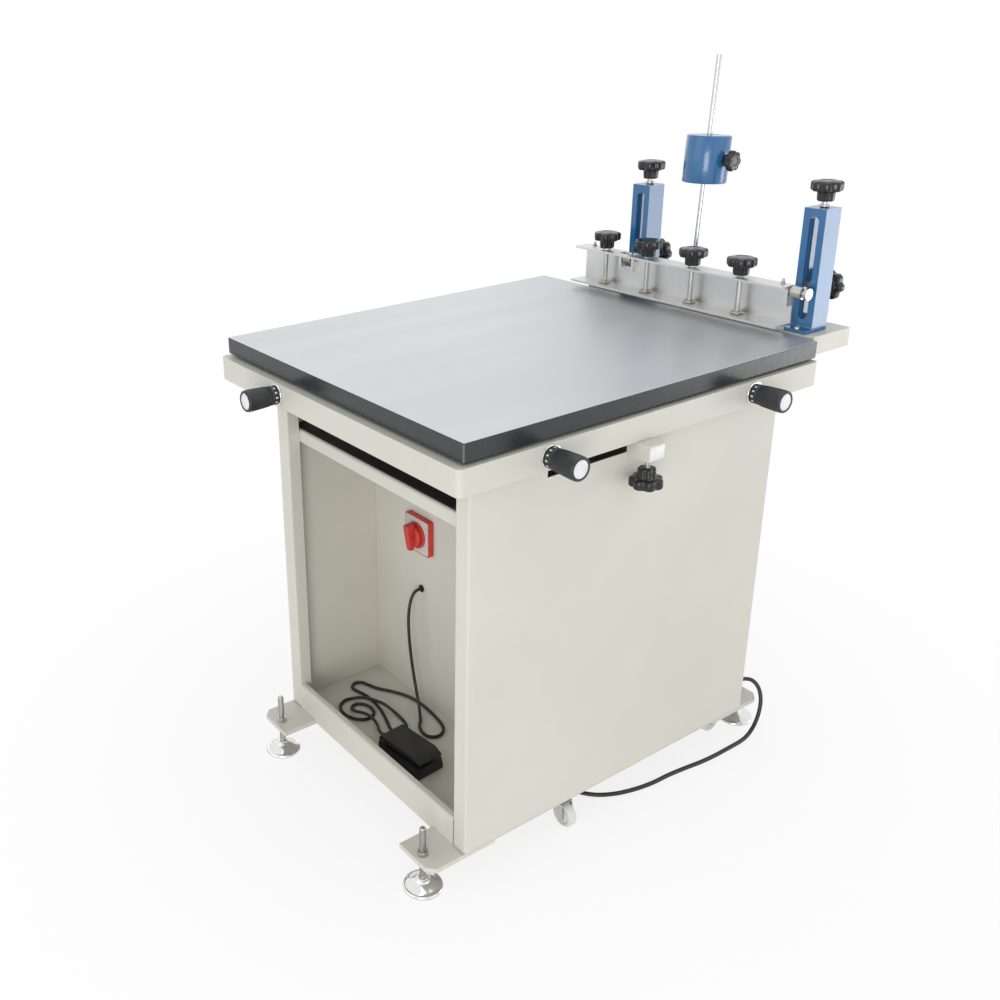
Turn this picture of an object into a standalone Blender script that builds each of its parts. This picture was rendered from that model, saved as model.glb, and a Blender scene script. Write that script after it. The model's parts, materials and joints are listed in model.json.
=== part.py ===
"""Screen printing vacuum table: a floor cabinet carries a bed with fine adjusters and, behind it, a screen
clamp on two height posts with a counterweight.

Sizes are in metres. While the pieces are made, x runs to the operator's right from the middle of the bed,
y runs away from the operator from the bed's front edge, and z is the height above the floor. At the end an
empty carries everything so that the middle of the whole machine stands on the origin.
"""

import math

import bmesh
import bpy
from mathutils import Matrix, Vector

GAP = 0.0003

BED_WIDTH = 0.605
BED_DEPTH = 0.700
BED_THICK = 0.027
BED_HEIGHT = 0.704
BED_EDGE = 0.0012
BED_SLIDE_GAP = 0.004
CARRIAGE_INSET = 0.045

FRAME_SIDE_LIP = 0.0055
FRAME_FRONT_LIP = 0.012
FRAME_REAR_LIP = 0.0015
FRAME_DROP = 0.038
FRAME_SHEET = 0.0025
FRAME_CORNER = 0.008

SHEET = 0.002
BEND = 0.0035
CABINET_LEFT = -0.188
CABINET_RIGHT = 0.292
CABINET_FRONT = 0.019
CABINET_REAR = 0.6305
BASE_BOTTOM = 0.059
POST_FLANGE = 0.029
POST_RETURN = 0.022
LOCK_SLOT_FRONT = 0.152
LOCK_SLOT_REAR = 0.3015
LOCK_SLOT_HEIGHT = 0.0542

BACK_PANEL_FRONT = 0.205
BACK_PANEL_DROP = 0.1042
STRIP_DROP = 0.1152
STRIP_HEIGHT = 0.021
STRIP_FLANGE = 0.015
LIP_TOP = 0.106
LIP_BOTTOM = 0.054
LIP_RETURN = 0.010

FOOT_X_LEFT = -0.147
FOOT_X_RIGHT = 0.2535
FOOT_Y_FRONT = -0.028
FOOT_Y_REAR = 0.674
PLATE_WIDTH = 0.075
PLATE_RIGHT_IN = 0.0025
PLATE_LENGTH = 0.120
PLATE_THICK = 0.0077
PLATE_FRONT = -0.042
PLATE_REAR = 0.687
PLATE_CHAMFER = 0.012
BAR_INSET = 0.022
FOOT_PAD = 0.060
FOOT_PAD_EDGE = 0.006
FOOT_PAD_DOME = 0.016
FOOT_STUD = 0.010
FOOT_STUD_TOP = 0.107
FOOT_NUT = 0.017
FOOT_NUT_THICK = 0.007

WHEEL = 0.040
WHEEL_WIDTH = 0.016
WHEEL_LIFT = 0.0015
WHEEL_TRAIL = 0.0295
WHEEL_HUB = 0.011
WHEEL_EASE = 0.0035
FORK_SHEET = 0.002
FORK_HEEL = 0.012
FORK_PLAY = 0.0015
CASTER_PLATE = 0.030
CASTER_NECK = 0.026
CASTER_RISE = 0.006
CASTER_X = 0.250
CASTER_Y_FRONT = 0.2305
CASTER_Y_REAR = 0.575

BEAM_GAP = 0.005
BEAM_DEPTH = 0.095
BEAM_THICK = 0.030
BEAM_RISE = 0.003
BEAM_BRACKET_WIDTH = 0.030
BEAM_BRACKET_INSET = 0.055

POST_X_LEFT = -0.0885
POST_X_RIGHT = 0.257
POST_WIDTH = 0.038
POST_DEPTH = 0.0375
POST_SETBACK = 0.0155
POST_HEIGHT = 0.1907
POST_WALL = 0.013
POST_SIDE = 0.005
POST_CAP = 0.012
SLOT_WIDTH = 0.0155
SLOT_BOTTOM = 0.019
TOE_LENGTH = 0.0165
TOE_THICK = 0.0055

PIVOT_AHEAD = 0.0175
PIVOT_RISE = 0.0645
EYE = 0.020
EYE_WIDTH = 0.018
PIN = 0.009
SLIDER_HEIGHT = 0.020
SLIDER_DEPTH = 0.017
SLIDER_SIDE_GAP = 0.001
LEAD_SCREW = 0.008
LEAD_SCREW_BACK = 0.020
SCREW_CLEARANCE = 0.0004
COLLAR = 0.014
COLLAR_HEIGHT = 0.009
HEIGHT_KNOB = 0.052
LOCK_WASHER = 0.034

CHANNEL_LEFT = -0.200
CHANNEL_RIGHT = 0.2445
CHANNEL_SHEET = 0.0035
CHANNEL_RISE = 0.009
CHANNEL_HEIGHT = 0.064
CHANNEL_BACK = 0.009
CHANNEL_UPPER = 0.033
CHANNEL_LOWER = 0.042
NOTCH_WIDTH = 0.033
NOTCH_DEPTH = 0.022
NOTCH_DROP = 0.026
EAR = 0.005
EAR_WIDTH = 0.019

CLAMP_FIRST_X = -0.1365
CLAMP_PITCH = 0.0973
CLAMP_COUNT = 4
CLAMP_AHEAD = 0.020
CLAMP_STUD = 0.009
CLAMP_PAD = 0.016
CLAMP_PAD_THICK = 0.004
CLAMP_NUT = 0.013
CLAMP_NUT_THICK = 0.004

KNOB_LOBES = 7
KNOB = 0.048
KNOB_FLUTE = 0.0028
KNOB_HUB = 0.027
KNOB_HUB_HEIGHT = 0.0135
KNOB_HEAD_HEIGHT = 0.0155
KNOB_DOME = 0.0025

ROD_X = 0.0223
ROD = 0.0085
ROD_BACK = 0.038
ROD_LENGTH = 0.350
ROD_LEAN = math.radians(3.0)
ROD_ARM = 0.016
ROD_ARM_WIDTH = 0.022
WEIGHT = 0.073
WEIGHT_HEIGHT = 0.077
WEIGHT_UP = 0.147
WEIGHT_BORE = 0.0095
WEIGHT_EDGE = 0.003
WEIGHT_KNOB = 0.034

ADJUSTER_DROP = 0.019
ADJUSTER_FRONT_X = -0.130
ADJUSTER_SIDE_Y = (0.140, 0.548)
ADJUSTER_REACH = 0.060
ADJUSTER_BARREL = 0.032
ADJUSTER_CAP = 0.026
ADJUSTER_SHAFT = 0.008
ADJUSTER_SHAFT_IN = 0.010
ADJUSTER_BEZEL = 0.036
ADJUSTER_SLEEVE = 0.018
ADJUSTER_TIP = 0.014

LOCK_Y = 0.317
LOCK_WIDTH = 0.030
LOCK_REACH = 0.039
LOCK_THICK = 0.0235
LOCK_DROP = 0.0695
LOCK_STUD = 0.008
LOCK_STUD_X = 0.321
LOCK_STUD_LENGTH = 0.012

SWITCH_X = -0.052
SWITCH_Z = 0.386
SWITCH_PLATE = 0.064
SWITCH_THICK = 0.010
SWITCH_BOSS = 0.046
SWITCH_BOSS_OUT = 0.004
SWITCH_HANDLE = 0.042
SWITCH_GRIP = 0.012
SWITCH_DISC = 0.037
CABLE_X = -0.0525
CABLE_Z = 0.2817
CABLE = 0.0055
GROMMET_WALL = 0.0018
GROMMET_RIM = 0.002

PEDAL_X = 0.071
PEDAL_Y = 0.085
PEDAL_TURN = math.radians(4.0)
PEDAL_LENGTH = 0.102
PEDAL_WIDTH = 0.060
PEDAL_BASE_HEIGHT = 0.018
PEDAL_HEIGHT = 0.036
PEDAL_NOSE = 0.016
PEDAL_HINGE_IN = 0.010
PEDAL_CHEEK = 0.0035
PEDAL_OPEN = 0.006
BOOT = 0.011
BOOT_TAIL = 0.0084
BOOT_LENGTH = 0.016
BOOT_HEIGHT = 0.010

CORD = 0.007
CORD_X = 0.270
CORD_Z = 0.094
GLAND = 0.014
GLAND_TAIL = 0.022
COIL_X = 0.060
COIL_Y = 0.420
COIL = 0.098
COIL_WALL = 0.0212
PLUG_LENGTH = 0.048
PLUG_WIDTH = 0.036
PLUG_HEIGHT = 0.026
PLUG_NECK = 0.009
PLUG_PINS = 0.019

CREAM = ((0.78, 0.75, 0.66), 0.45, 0.0)
BED_SKIN = ((0.62, 0.66, 0.70), 0.35, 0.6)
BLUE = ((0.12, 0.30, 0.55), 0.3, 0.1)
BLACK = ((0.02, 0.02, 0.022), 0.4, 0.0)
ZINC = ((0.72, 0.72, 0.70), 0.3, 0.9)
ALUMINIUM = ((0.80, 0.80, 0.80), 0.35, 0.85)
CHROME = ((0.82, 0.82, 0.82), 0.12, 1.0)
WHITE_PLASTIC = ((0.88, 0.88, 0.86), 0.4, 0.0)
RED = ((0.75, 0.05, 0.04), 0.35, 0.0)
CABLE_BLACK = ((0.02, 0.02, 0.02), 0.5, 0.0)

BED_BOTTOM = BED_HEIGHT - BED_THICK
FRAME_TOP = BED_BOTTOM - BED_SLIDE_GAP
FRAME_X = BED_WIDTH / 2 + FRAME_SIDE_LIP
FRAME_FRONT = -FRAME_FRONT_LIP
FRAME_REAR = BED_DEPTH + FRAME_REAR_LIP
DECK_BOTTOM = FRAME_TOP - FRAME_SHEET
BASE_TOP = BASE_BOTTOM + SHEET
WALL_BOTTOM = BASE_TOP + GAP
WALL_TOP = DECK_BOTTOM - GAP
ADJUSTER_Z = FRAME_TOP - ADJUSTER_DROP
LOCK_SLOT_BOTTOM = WALL_TOP - LOCK_SLOT_HEIGHT
BACK_PANEL_TOP = WALL_TOP - BACK_PANEL_DROP
STRIP_BOTTOM = WALL_TOP - STRIP_DROP
INNER_LEFT = CABINET_LEFT + SHEET
INNER_RIGHT = CABINET_RIGHT - SHEET
BEAM_FRONT = BED_DEPTH + BEAM_GAP
BEAM_REAR = BEAM_FRONT + BEAM_DEPTH
BEAM_TOP = BED_HEIGHT + BEAM_RISE
POST_FRONT = BEAM_FRONT + POST_SETBACK
POST_BACK = POST_FRONT + POST_DEPTH
POST_BOTTOM = BEAM_TOP + GAP
POST_TOP = POST_BOTTOM + POST_HEIGHT
LEAD_SCREW_Y = POST_FRONT + LEAD_SCREW_BACK
PIVOT_Y = POST_FRONT - PIVOT_AHEAD
PIVOT_Z = BEAM_TOP + PIVOT_RISE
CHANNEL_REAR = PIVOT_Y + CHANNEL_BACK
CHANNEL_BOTTOM = BEAM_TOP + CHANNEL_RISE
CHANNEL_TOP = CHANNEL_BOTTOM + CHANNEL_HEIGHT
CLAMP_Y = CHANNEL_REAR - CLAMP_AHEAD
KNOB_HEIGHT = KNOB_HUB_HEIGHT + KNOB_HEAD_HEIGHT
MIDDLE_X = ADJUSTER_REACH / 2
MIDDLE_Y = (BEAM_REAR + FRAME_FRONT - ADJUSTER_REACH) / 2

for old in list(bpy.data.objects):
    bpy.data.objects.remove(old)
machine = bpy.data.objects.new("machine", None)
bpy.context.collection.objects.link(machine)
machine.location = (-MIDDLE_X, -MIDDLE_Y, 0)


def give_finish(piece, finish):
    """One Principled material for the piece, from a colour, a roughness and a metallic value."""
    colour, roughness, metallic = finish
    material = bpy.data.materials.new(piece.name)
    material.use_nodes = True
    shader = material.node_tree.nodes["Principled BSDF"]
    shader.inputs["Base Color"].default_value = (*colour, 1)
    shader.inputs["Roughness"].default_value = roughness
    shader.inputs["Metallic"].default_value = metallic
    material.diffuse_color = (*colour, 1)
    piece.data.materials.append(material)


def new_piece(name, shape, finish=None, smooth=32):
    """An object from a bmesh, with its faces pointing out. Without a finish it is a cutter or a helper."""
    bmesh.ops.remove_doubles(shape, verts=shape.verts, dist=1e-7)
    bmesh.ops.recalc_face_normals(shape, faces=shape.faces)
    mesh = bpy.data.meshes.new(name)
    shape.to_mesh(mesh)
    shape.free()
    mesh.shade_smooth()
    mesh.set_sharp_from_angle(angle=math.radians(smooth))
    piece = bpy.data.objects.new(name, mesh)
    bpy.context.collection.objects.link(piece)
    piece.parent = machine
    if finish:
        give_finish(piece, finish)
    else:
        piece.hide_render = True
        piece.display_type = "WIRE"
    return piece


def combine(piece, other, operation="UNION"):
    """An exact Boolean of the piece with a helper, kept as a modifier."""
    change = piece.modifiers.new(other.name, "BOOLEAN")
    change.operation = operation
    change.solver = "EXACT"
    change.object = other
    return piece


def cut(piece, cutter):
    return combine(piece, cutter, "DIFFERENCE")


def origin_at(piece, point):
    """Moves the piece's origin to a point, such as one on its joint's axis, and leaves its shape in place."""
    piece.data.transform(Matrix.Translation(-Vector(point)))
    piece.location = point
    return piece


def loft(rings, closed=False):
    """A bmesh skinned over rings of as many points each, with flat ends, or joined round when closed."""
    shape = bmesh.new()
    rows = [[shape.verts.new(point) for point in ring] for ring in rings]
    pairs = list(zip(rows, rows[1:]))
    if closed:
        pairs.append((rows[-1], rows[0]))
    for low, high in pairs:
        for i in range(len(low)):
            j = (i + 1) % len(low)
            shape.faces.new((low[i], low[j], high[j], high[i]))
    if not closed:
        shape.faces.new(rows[0])
        shape.faces.new(rows[-1])
    return shape


def along(axis, point, level):
    """A 3-D point from a point of a plane square to the axis and a level on the axis."""
    a, b = point
    return {"x": (level, a, b), "y": (a, level, b), "z": (a, b, level)}[axis]


def prism(name, outline, axis, low, high, finish=None, smooth=32):
    """An outline pushed along an axis from one level to another."""
    rings = [[along(axis, point, level) for point in outline] for level in (low, high)]
    return new_piece(name, loft(rings), finish, smooth)


def rectangle(a, b, c, d):
    return [(a, c), (b, c), (b, d), (a, d)]


def rounded(a, b, c, d, radius, steps=4):
    """A rectangle from (a, c) to (b, d) with round corners."""
    corners = [(b - radius, d - radius, 0), (a + radius, d - radius, 1)]
    corners += [(a + radius, c + radius, 2), (b - radius, c + radius, 3)]
    points = []
    for x, y, quarter in corners:
        for i in range(steps + 1):
            turn = (quarter + i / steps) * math.pi / 2
            points.append((x + radius * math.cos(turn), y + radius * math.sin(turn)))
    return points


def circle(x, y, radius, steps=24):
    turns = [2 * math.pi * i / steps for i in range(steps)]
    return [(x + radius * math.cos(turn), y + radius * math.sin(turn)) for turn in turns]


def block(name, x, y, z, finish=None, bevel=0.0):
    """A box between pairs of x, y and z, with its edges eased when a bevel is given."""
    piece = prism(name, rectangle(*x, *y), "z", *z, finish)
    if bevel:
        edge = piece.modifiers.new("edges", "BEVEL")
        edge.width = bevel
        edge.segments = 2
        edge.limit_method = "ANGLE"
    return piece


def turned(name, profile, axis, centre, finish=None, steps=20, smooth=32):
    """A lathe shape from (radius, level) pairs: the centre is given in the plane square to the axis."""
    rings = []
    for radius, level in profile:
        rings.append([along(axis, point, level) for point in circle(*centre, radius, steps)])
    return new_piece(name, loft(rings), finish, smooth)


def folded(path, thick, bend, steps=3):
    """The outline of a bent sheet whose middle runs along the path, with a round bend at each corner."""
    middle = [Vector(path[0])]
    for before, corner, after in zip(path, path[1:], path[2:]):
        corner = Vector(corner)
        back = (Vector(before) - corner).normalized()
        forth = (Vector(after) - corner).normalized()
        half = back.angle(forth) / 2
        reach = bend / math.tan(half)
        heart = corner + (back + forth).normalized() * bend / math.sin(half)
        start = corner + back * reach - heart
        end = corner + forth * reach - heart
        turn = math.atan2(start.x * end.y - start.y * end.x, start.dot(end))
        for i in range(steps + 1):
            angle = turn * i / steps
            cos, sin = math.cos(angle), math.sin(angle)
            middle.append(heart + Vector((start.x * cos - start.y * sin, start.x * sin + start.y * cos)))
    middle.append(Vector(path[-1]))
    left, right = [], []
    for i, point in enumerate(middle):
        ahead = (middle[min(i + 1, len(middle) - 1)] - point).normalized()
        behind = (point - middle[max(i - 1, 0)]).normalized()
        tangent = (ahead + behind).normalized()
        side = Vector((-tangent.y, tangent.x)) * thick / 2
        left.append(tuple(point + side))
        right.append(tuple(point - side))
    return left + right[::-1]


def lobed(radius, flute, level, frame, per_lobe=3):
    """A ring with round lobes, such as a star knob's rim, in the knob's frame (centre, along, across)."""
    centre, forth, across, upward = frame
    count = KNOB_LOBES * per_lobe
    ring = []
    for i in range(count):
        turn = 2 * math.pi * i / count
        reach = radius - flute * (1 - math.cos(KNOB_LOBES * turn)) / 2
        offset = forth * math.cos(turn) * reach + across * math.sin(turn) * reach
        ring.append(centre + offset + upward * level)
    return ring


def knob_frame(base, upward):
    upward = Vector(upward).normalized()
    forth = upward.orthogonal().normalized()
    return Vector(base), forth, upward.cross(forth), upward


def star_knob(name, base, upward, stem, size=KNOB):
    """A moulded star knob: a fluted hub that stands on the base point, and a lobed head with a low dome.

    The stem is (radius, level) pairs below or at the base, from its far end to the hub.
    """
    frame = knob_frame(base, upward)
    share = size / KNOB
    hub = KNOB_HUB / 2 * share
    head = size / 2
    rise = KNOB_HUB_HEIGHT * share
    top = rise + KNOB_HEAD_HEIGHT * share
    shoulder = KNOB_DOME * share
    flute = KNOB_FLUTE * share
    rings = [lobed(radius, 0, level, frame) for radius, level in stem]
    rings.append(lobed(hub, flute / 2, 0, frame))
    rings.append(lobed(hub, flute / 2, rise, frame))
    rings.append(lobed(head - shoulder / 2, flute, rise, frame))
    rings.append(lobed(head, flute, rise + shoulder / 2, frame))
    rings.append(lobed(head, flute, top - shoulder, frame))
    rings.append(lobed(head - shoulder, flute, top - shoulder / 3, frame))
    rings.append(lobed(head * 0.45, 0, top, frame))
    return origin_at(new_piece(name, loft(rings), BLACK), base)


def make_bed():
    """The vacuum bed slides sideways on a carriage plate, which slides front to back on the frame's deck."""
    side = BED_WIDTH / 2
    levels = (BED_BOTTOM, BED_HEIGHT)
    block("vacuum_bed", (-side, side), (0, BED_DEPTH), levels, BED_SKIN, BED_EDGE)
    outline = rounded(
        -side + CARRIAGE_INSET, side - CARRIAGE_INSET, CARRIAGE_INSET, BED_DEPTH - CARRIAGE_INSET, 0.01
    )
    prism("bed_carriage", outline, "z", FRAME_TOP + GAP, BED_BOTTOM - GAP, ZINC)


def make_frame():
    """A shallow sheet tray turned over: a deck with a skirt, drilled for the adjusters' shafts."""
    outer = rounded(-FRAME_X, FRAME_X, FRAME_FRONT, FRAME_REAR, FRAME_CORNER)
    t = FRAME_SHEET
    inner = rounded(
        -FRAME_X + t, FRAME_X - t, FRAME_FRONT + t, FRAME_REAR - t, FRAME_CORNER - t
    )
    low = FRAME_TOP - FRAME_DROP
    rings = [[(x, y, level) for x, y in outline] for outline, level in (
        (inner, DECK_BOTTOM), (inner, low), (outer, low), (outer, FRAME_TOP)
    )]
    frame = new_piece("top_frame", loft(rings), CREAM)
    hole = ADJUSTER_SHAFT / 2 + SCREW_CLEARANCE
    span = ((hole, -2 * t), (hole, 2 * t))
    front = [(radius, FRAME_FRONT + level) for radius, level in span]
    cut(frame, turned("front_shaft_hole", front, "y", (ADJUSTER_FRONT_X, ADJUSTER_Z)))
    side = [(radius, FRAME_X + level) for radius, level in span]
    for i, y in enumerate(ADJUSTER_SIDE_Y):
        cut(frame, turned(f"side_shaft_hole_{i + 1}", side, "x", (y, ADJUSTER_Z)))


def make_side(name, outer, inward):
    """A cabinet side: one sheet folded into a front post with a return; inward is +1 on the left."""
    middle = outer + inward * SHEET / 2
    front = CABINET_FRONT + SHEET / 2
    edge = outer + inward * (POST_FLANGE - SHEET / 2)
    path = [(middle, CABINET_REAR), (middle, front), (edge, front), (edge, front + POST_RETURN)]
    return prism(name, folded(path, SHEET, BEND), "z", WALL_BOTTOM, WALL_TOP, CREAM)


def make_cabinet():
    """The folded sides, rear and inner panels that stand on the base plate under the frame."""
    make_side("cabinet_left_side", CABINET_LEFT, 1)
    right = make_side("cabinet_right_side", CABINET_RIGHT, -1)
    x = (CABINET_RIGHT - 2 * SHEET, CABINET_RIGHT + SHEET)
    cut(right, block("lock_slot", x, (LOCK_SLOT_FRONT, LOCK_SLOT_REAR), (LOCK_SLOT_BOTTOM, FRAME_TOP)))
    inside = (INNER_LEFT + GAP, INNER_RIGHT - GAP)
    rear = block(
        "cabinet_rear_panel", inside, (CABINET_REAR - SHEET, CABINET_REAR), (WALL_BOTTOM, WALL_TOP), CREAM
    )
    hole = [(GLAND / 2 + GAP, CABINET_REAR - 2 * SHEET), (GLAND / 2 + GAP, CABINET_REAR + SHEET)]
    cut(rear, turned("gland_hole", hole, "y", (CORD_X, CORD_Z)))
    depth = (CABINET_FRONT + SHEET + GAP, CABINET_REAR)
    block("base_plate", (CABINET_LEFT, CABINET_RIGHT), depth, (BASE_BOTTOM, BASE_TOP), CREAM)
    panel = block(
        "compartment_back_panel",
        inside,
        (BACK_PANEL_FRONT, BACK_PANEL_FRONT + SHEET),
        (WALL_BOTTOM, BACK_PANEL_TOP),
        CREAM,
    )
    hole = CABLE / 2 + GROMMET_WALL + GAP
    span = [(hole, BACK_PANEL_FRONT - SHEET), (hole, BACK_PANEL_FRONT + 2 * SHEET)]
    cut(panel, turned("cable_hole", span, "y", (CABLE_X, CABLE_Z)))
    post = POST_FLANGE + GAP
    lip_x = (CABINET_LEFT + post, CABINET_RIGHT - post)
    y = CABINET_FRONT + SHEET / 2
    top = LIP_TOP - SHEET / 2
    path = [(y, LIP_BOTTOM), (y, top), (y + LIP_RETURN, top)]
    rail = prism("front_rail", folded(path, SHEET, BEND), "x", *lip_x, CREAM)
    depth = (CABINET_FRONT - SHEET, CABINET_FRONT + 2 * SHEET)
    under = (LIP_BOTTOM - SHEET, BASE_BOTTOM)
    bar_left = CABINET_LEFT + PLATE_WIDTH + GAP
    bar_right = CABINET_RIGHT - PLATE_RIGHT_IN - PLATE_WIDTH - GAP
    cut(rail, block("rail_notch_left", (CABINET_LEFT, bar_left), depth, under))
    cut(rail, block("rail_notch_right", (bar_right, CABINET_RIGHT), depth, under))
    y = CABINET_FRONT + POST_RETURN + SHEET / 2 + GAP + SHEET / 2
    top = STRIP_BOTTOM + STRIP_HEIGHT - SHEET / 2
    path = [(y, STRIP_BOTTOM), (y, top), (y + STRIP_FLANGE, top)]
    prism("upper_strip", folded(path, SHEET, BEND), "x", *inside, CREAM)


def make_feet_rails():
    """A flat bar along each side of the base, wide at both ends, where the levelling feet screw in."""
    right_edge = CABINET_RIGHT - PLATE_RIGHT_IN
    for side, near, inner, x in (
        ("left", CABINET_LEFT, 1, FOOT_X_LEFT),
        ("right", right_edge, -1, FOOT_X_RIGHT),
    ):
        far = near + inner * PLATE_WIDTH
        rail_near = near + inner * BAR_INSET
        chamfer = PLATE_CHAMFER
        front, rear = PLATE_FRONT, PLATE_REAR
        outline = [
            (near, front + chamfer),
            (near + inner * chamfer, front),
            (far, front),
            (far, rear),
            (near + inner * chamfer, rear),
            (near, rear - chamfer),
            (near, rear - PLATE_LENGTH),
            (rail_near, rear - PLATE_LENGTH - chamfer),
            (rail_near, front + PLATE_LENGTH + chamfer),
            (near, front + PLATE_LENGTH),
        ]
        top = BASE_BOTTOM - GAP
        rail = prism(f"foot_rail_{side}", outline, "z", top - PLATE_THICK, top, CREAM)
        for end, y in (("front", FOOT_Y_FRONT), ("rear", FOOT_Y_REAR)):
            hole = FOOT_STUD / 2 + GAP
            span = [(hole, top - 2 * PLATE_THICK), (hole, top + PLATE_THICK)]
            cut(rail, turned(f"foot_hole_{side}_{end}", span, "z", (x, y)))
            levelling_foot(f"levelling_foot_{side}_{end}", x, y, top)


def levelling_foot(name, x, y, plate_top):
    """A domed pad with a threaded stud up through the plate, and a nut on each side of it, as one turning."""
    stud = FOOT_STUD / 2
    nut_low = plate_top - PLATE_THICK - GAP
    nut_high = plate_top + GAP
    nut = FOOT_NUT / 2
    profile = [
        (FOOT_PAD / 2 - 0.002, 0),
        (FOOT_PAD / 2, 0.002),
        (FOOT_PAD / 2, FOOT_PAD_EDGE),
        (FOOT_PAD / 2 * 0.82, FOOT_PAD_EDGE + 0.004),
        (FOOT_PAD / 2 * 0.48, FOOT_PAD_DOME - 0.003),
        (stud + 0.003, FOOT_PAD_DOME),
        (stud, FOOT_PAD_DOME + 0.003),
        (stud, nut_low - FOOT_NUT_THICK),
        (nut, nut_low - FOOT_NUT_THICK),
        (nut, nut_low),
        (stud, nut_low),
        (stud, nut_high),
        (nut, nut_high),
        (nut, nut_high + FOOT_NUT_THICK),
        (stud, nut_high + FOOT_NUT_THICK),
        (stud, FOOT_STUD_TOP),
    ]
    turned(name, profile, "z", (x, y), CHROME, 18)


def make_caster(name, x, y, trail):
    """A small swivel caster under the side bar: a bent fork with its top plate, and a wheel on its axle."""
    top = BASE_BOTTOM - GAP - PLATE_THICK - GAP
    wheel_z = WHEEL_LIFT + WHEEL / 2
    forth = Vector((*trail, 0))
    across = Vector((-trail[1], trail[0], 0))
    axle = Vector((x, y, wheel_z)) + forth * WHEEL_TRAIL
    half = WHEEL_WIDTH / 2 + FORK_PLAY
    wide = half + FORK_SHEET
    crown = top - CASTER_RISE
    span = [(CASTER_PLATE / 2, top), (CASTER_PLATE / 2, top - FORK_SHEET), (CASTER_NECK / 2, crown + 0.001)]
    span.append((CASTER_NECK / 2, crown - 0.0005))
    fork = turned(name + "_fork", span, "z", (x, y), ZINC, 16)
    toe = WHEEL_TRAIL + 0.003
    corners = []
    for a, b in ((-FORK_HEEL, -wide), (toe, -wide), (toe, wide), (-FORK_HEEL, wide)):
        corners.append(Vector((x, y, 0)) + forth * a + across * b)
    plate = [[(p.x, p.y, level) for p in corners] for level in (crown - FORK_SHEET, crown)]
    combine(fork, new_piece(name + "_crown", loft(plate)))
    cheek = [(-FORK_HEEL, crown), (toe, crown), (toe + 0.004, wheel_z), (toe + 0.001, wheel_z - 0.006)]
    cheek += [(toe - 0.007, wheel_z - 0.006), (toe - 0.010, wheel_z)]
    for side in (-1, 1):
        rings = []
        for offset in (side * half, side * wide):
            start = Vector((x, y, 0)) + across * offset
            rings.append([start + forth * a + Vector((0, 0, b)) for a, b in cheek])
        combine(fork, new_piece(f"{name}_cheek_{side + 1}", loft(rings)))
    origin_at(fork, (x, y, top))
    if trail[0]:
        axis, centre, level = "y", (axle.x, axle.z), axle.y
    else:
        axis, centre, level = "x", (axle.y, axle.z), axle.x
    rim, hub = WHEEL / 2, WHEEL_HUB / 2
    web = WHEEL_WIDTH / 2
    face = half - GAP
    profile = [
        (hub, level - face), (hub, level - web + 0.002), (rim * 0.66, level - web + 0.002),
        (rim * 0.72, level - web), (rim - WHEEL_EASE, level - web), (rim, level - web + WHEEL_EASE),
        (rim, level + web - WHEEL_EASE), (rim - WHEEL_EASE, level + web), (rim * 0.72, level + web),
        (rim * 0.66, level + web - 0.002), (hub, level + web - 0.002), (hub, level + face),
    ]
    origin_at(turned(name + "_wheel", profile, axis, centre, WHITE_PLASTIC, 18), axle)


def make_casters():
    """Four swivel casters, drawn with their wheels swung outwards or back."""
    left = CABINET_LEFT + CABINET_RIGHT - CASTER_X
    make_caster("caster_right_front", CASTER_X, CASTER_Y_FRONT, (1, 0))
    make_caster("caster_right_rear", CASTER_X, CASTER_Y_REAR, (0, 1))
    make_caster("caster_left_front", left, CASTER_Y_FRONT, (-1, 0))
    make_caster("caster_left_rear", left, CASTER_Y_REAR, (0, 1))


def make_rear_beam():
    """The beam behind the bed that carries the height posts, on two welded brackets at the frame's back."""
    beam = block(
        "rear_beam",
        (CABINET_LEFT, CABINET_RIGHT),
        (BEAM_FRONT, BEAM_REAR),
        (BEAM_TOP - BEAM_THICK, BEAM_TOP),
        CREAM,
    )
    seat = BEAM_TOP - BEAM_THICK + SHEET
    back = FRAME_REAR + GAP
    low = FRAME_TOP - FRAME_DROP
    outline = [(back, low), (back + 0.008, low), (BEAM_REAR - 0.012, seat - 0.012), (BEAM_REAR - 0.012, seat)]
    outline += [(BEAM_FRONT + 0.002, seat), (BEAM_FRONT + 0.002, FRAME_TOP), (back, FRAME_TOP)]
    for side, x in (("left", CABINET_LEFT), ("right", CABINET_RIGHT)):
        inward = 1 if side == "left" else -1
        near = x + inward * BEAM_BRACKET_INSET
        far = near + inward * BEAM_BRACKET_WIDTH
        combine(beam, prism(f"beam_bracket_{side}", outline, "x", min(near, far), max(near, far)))


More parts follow.
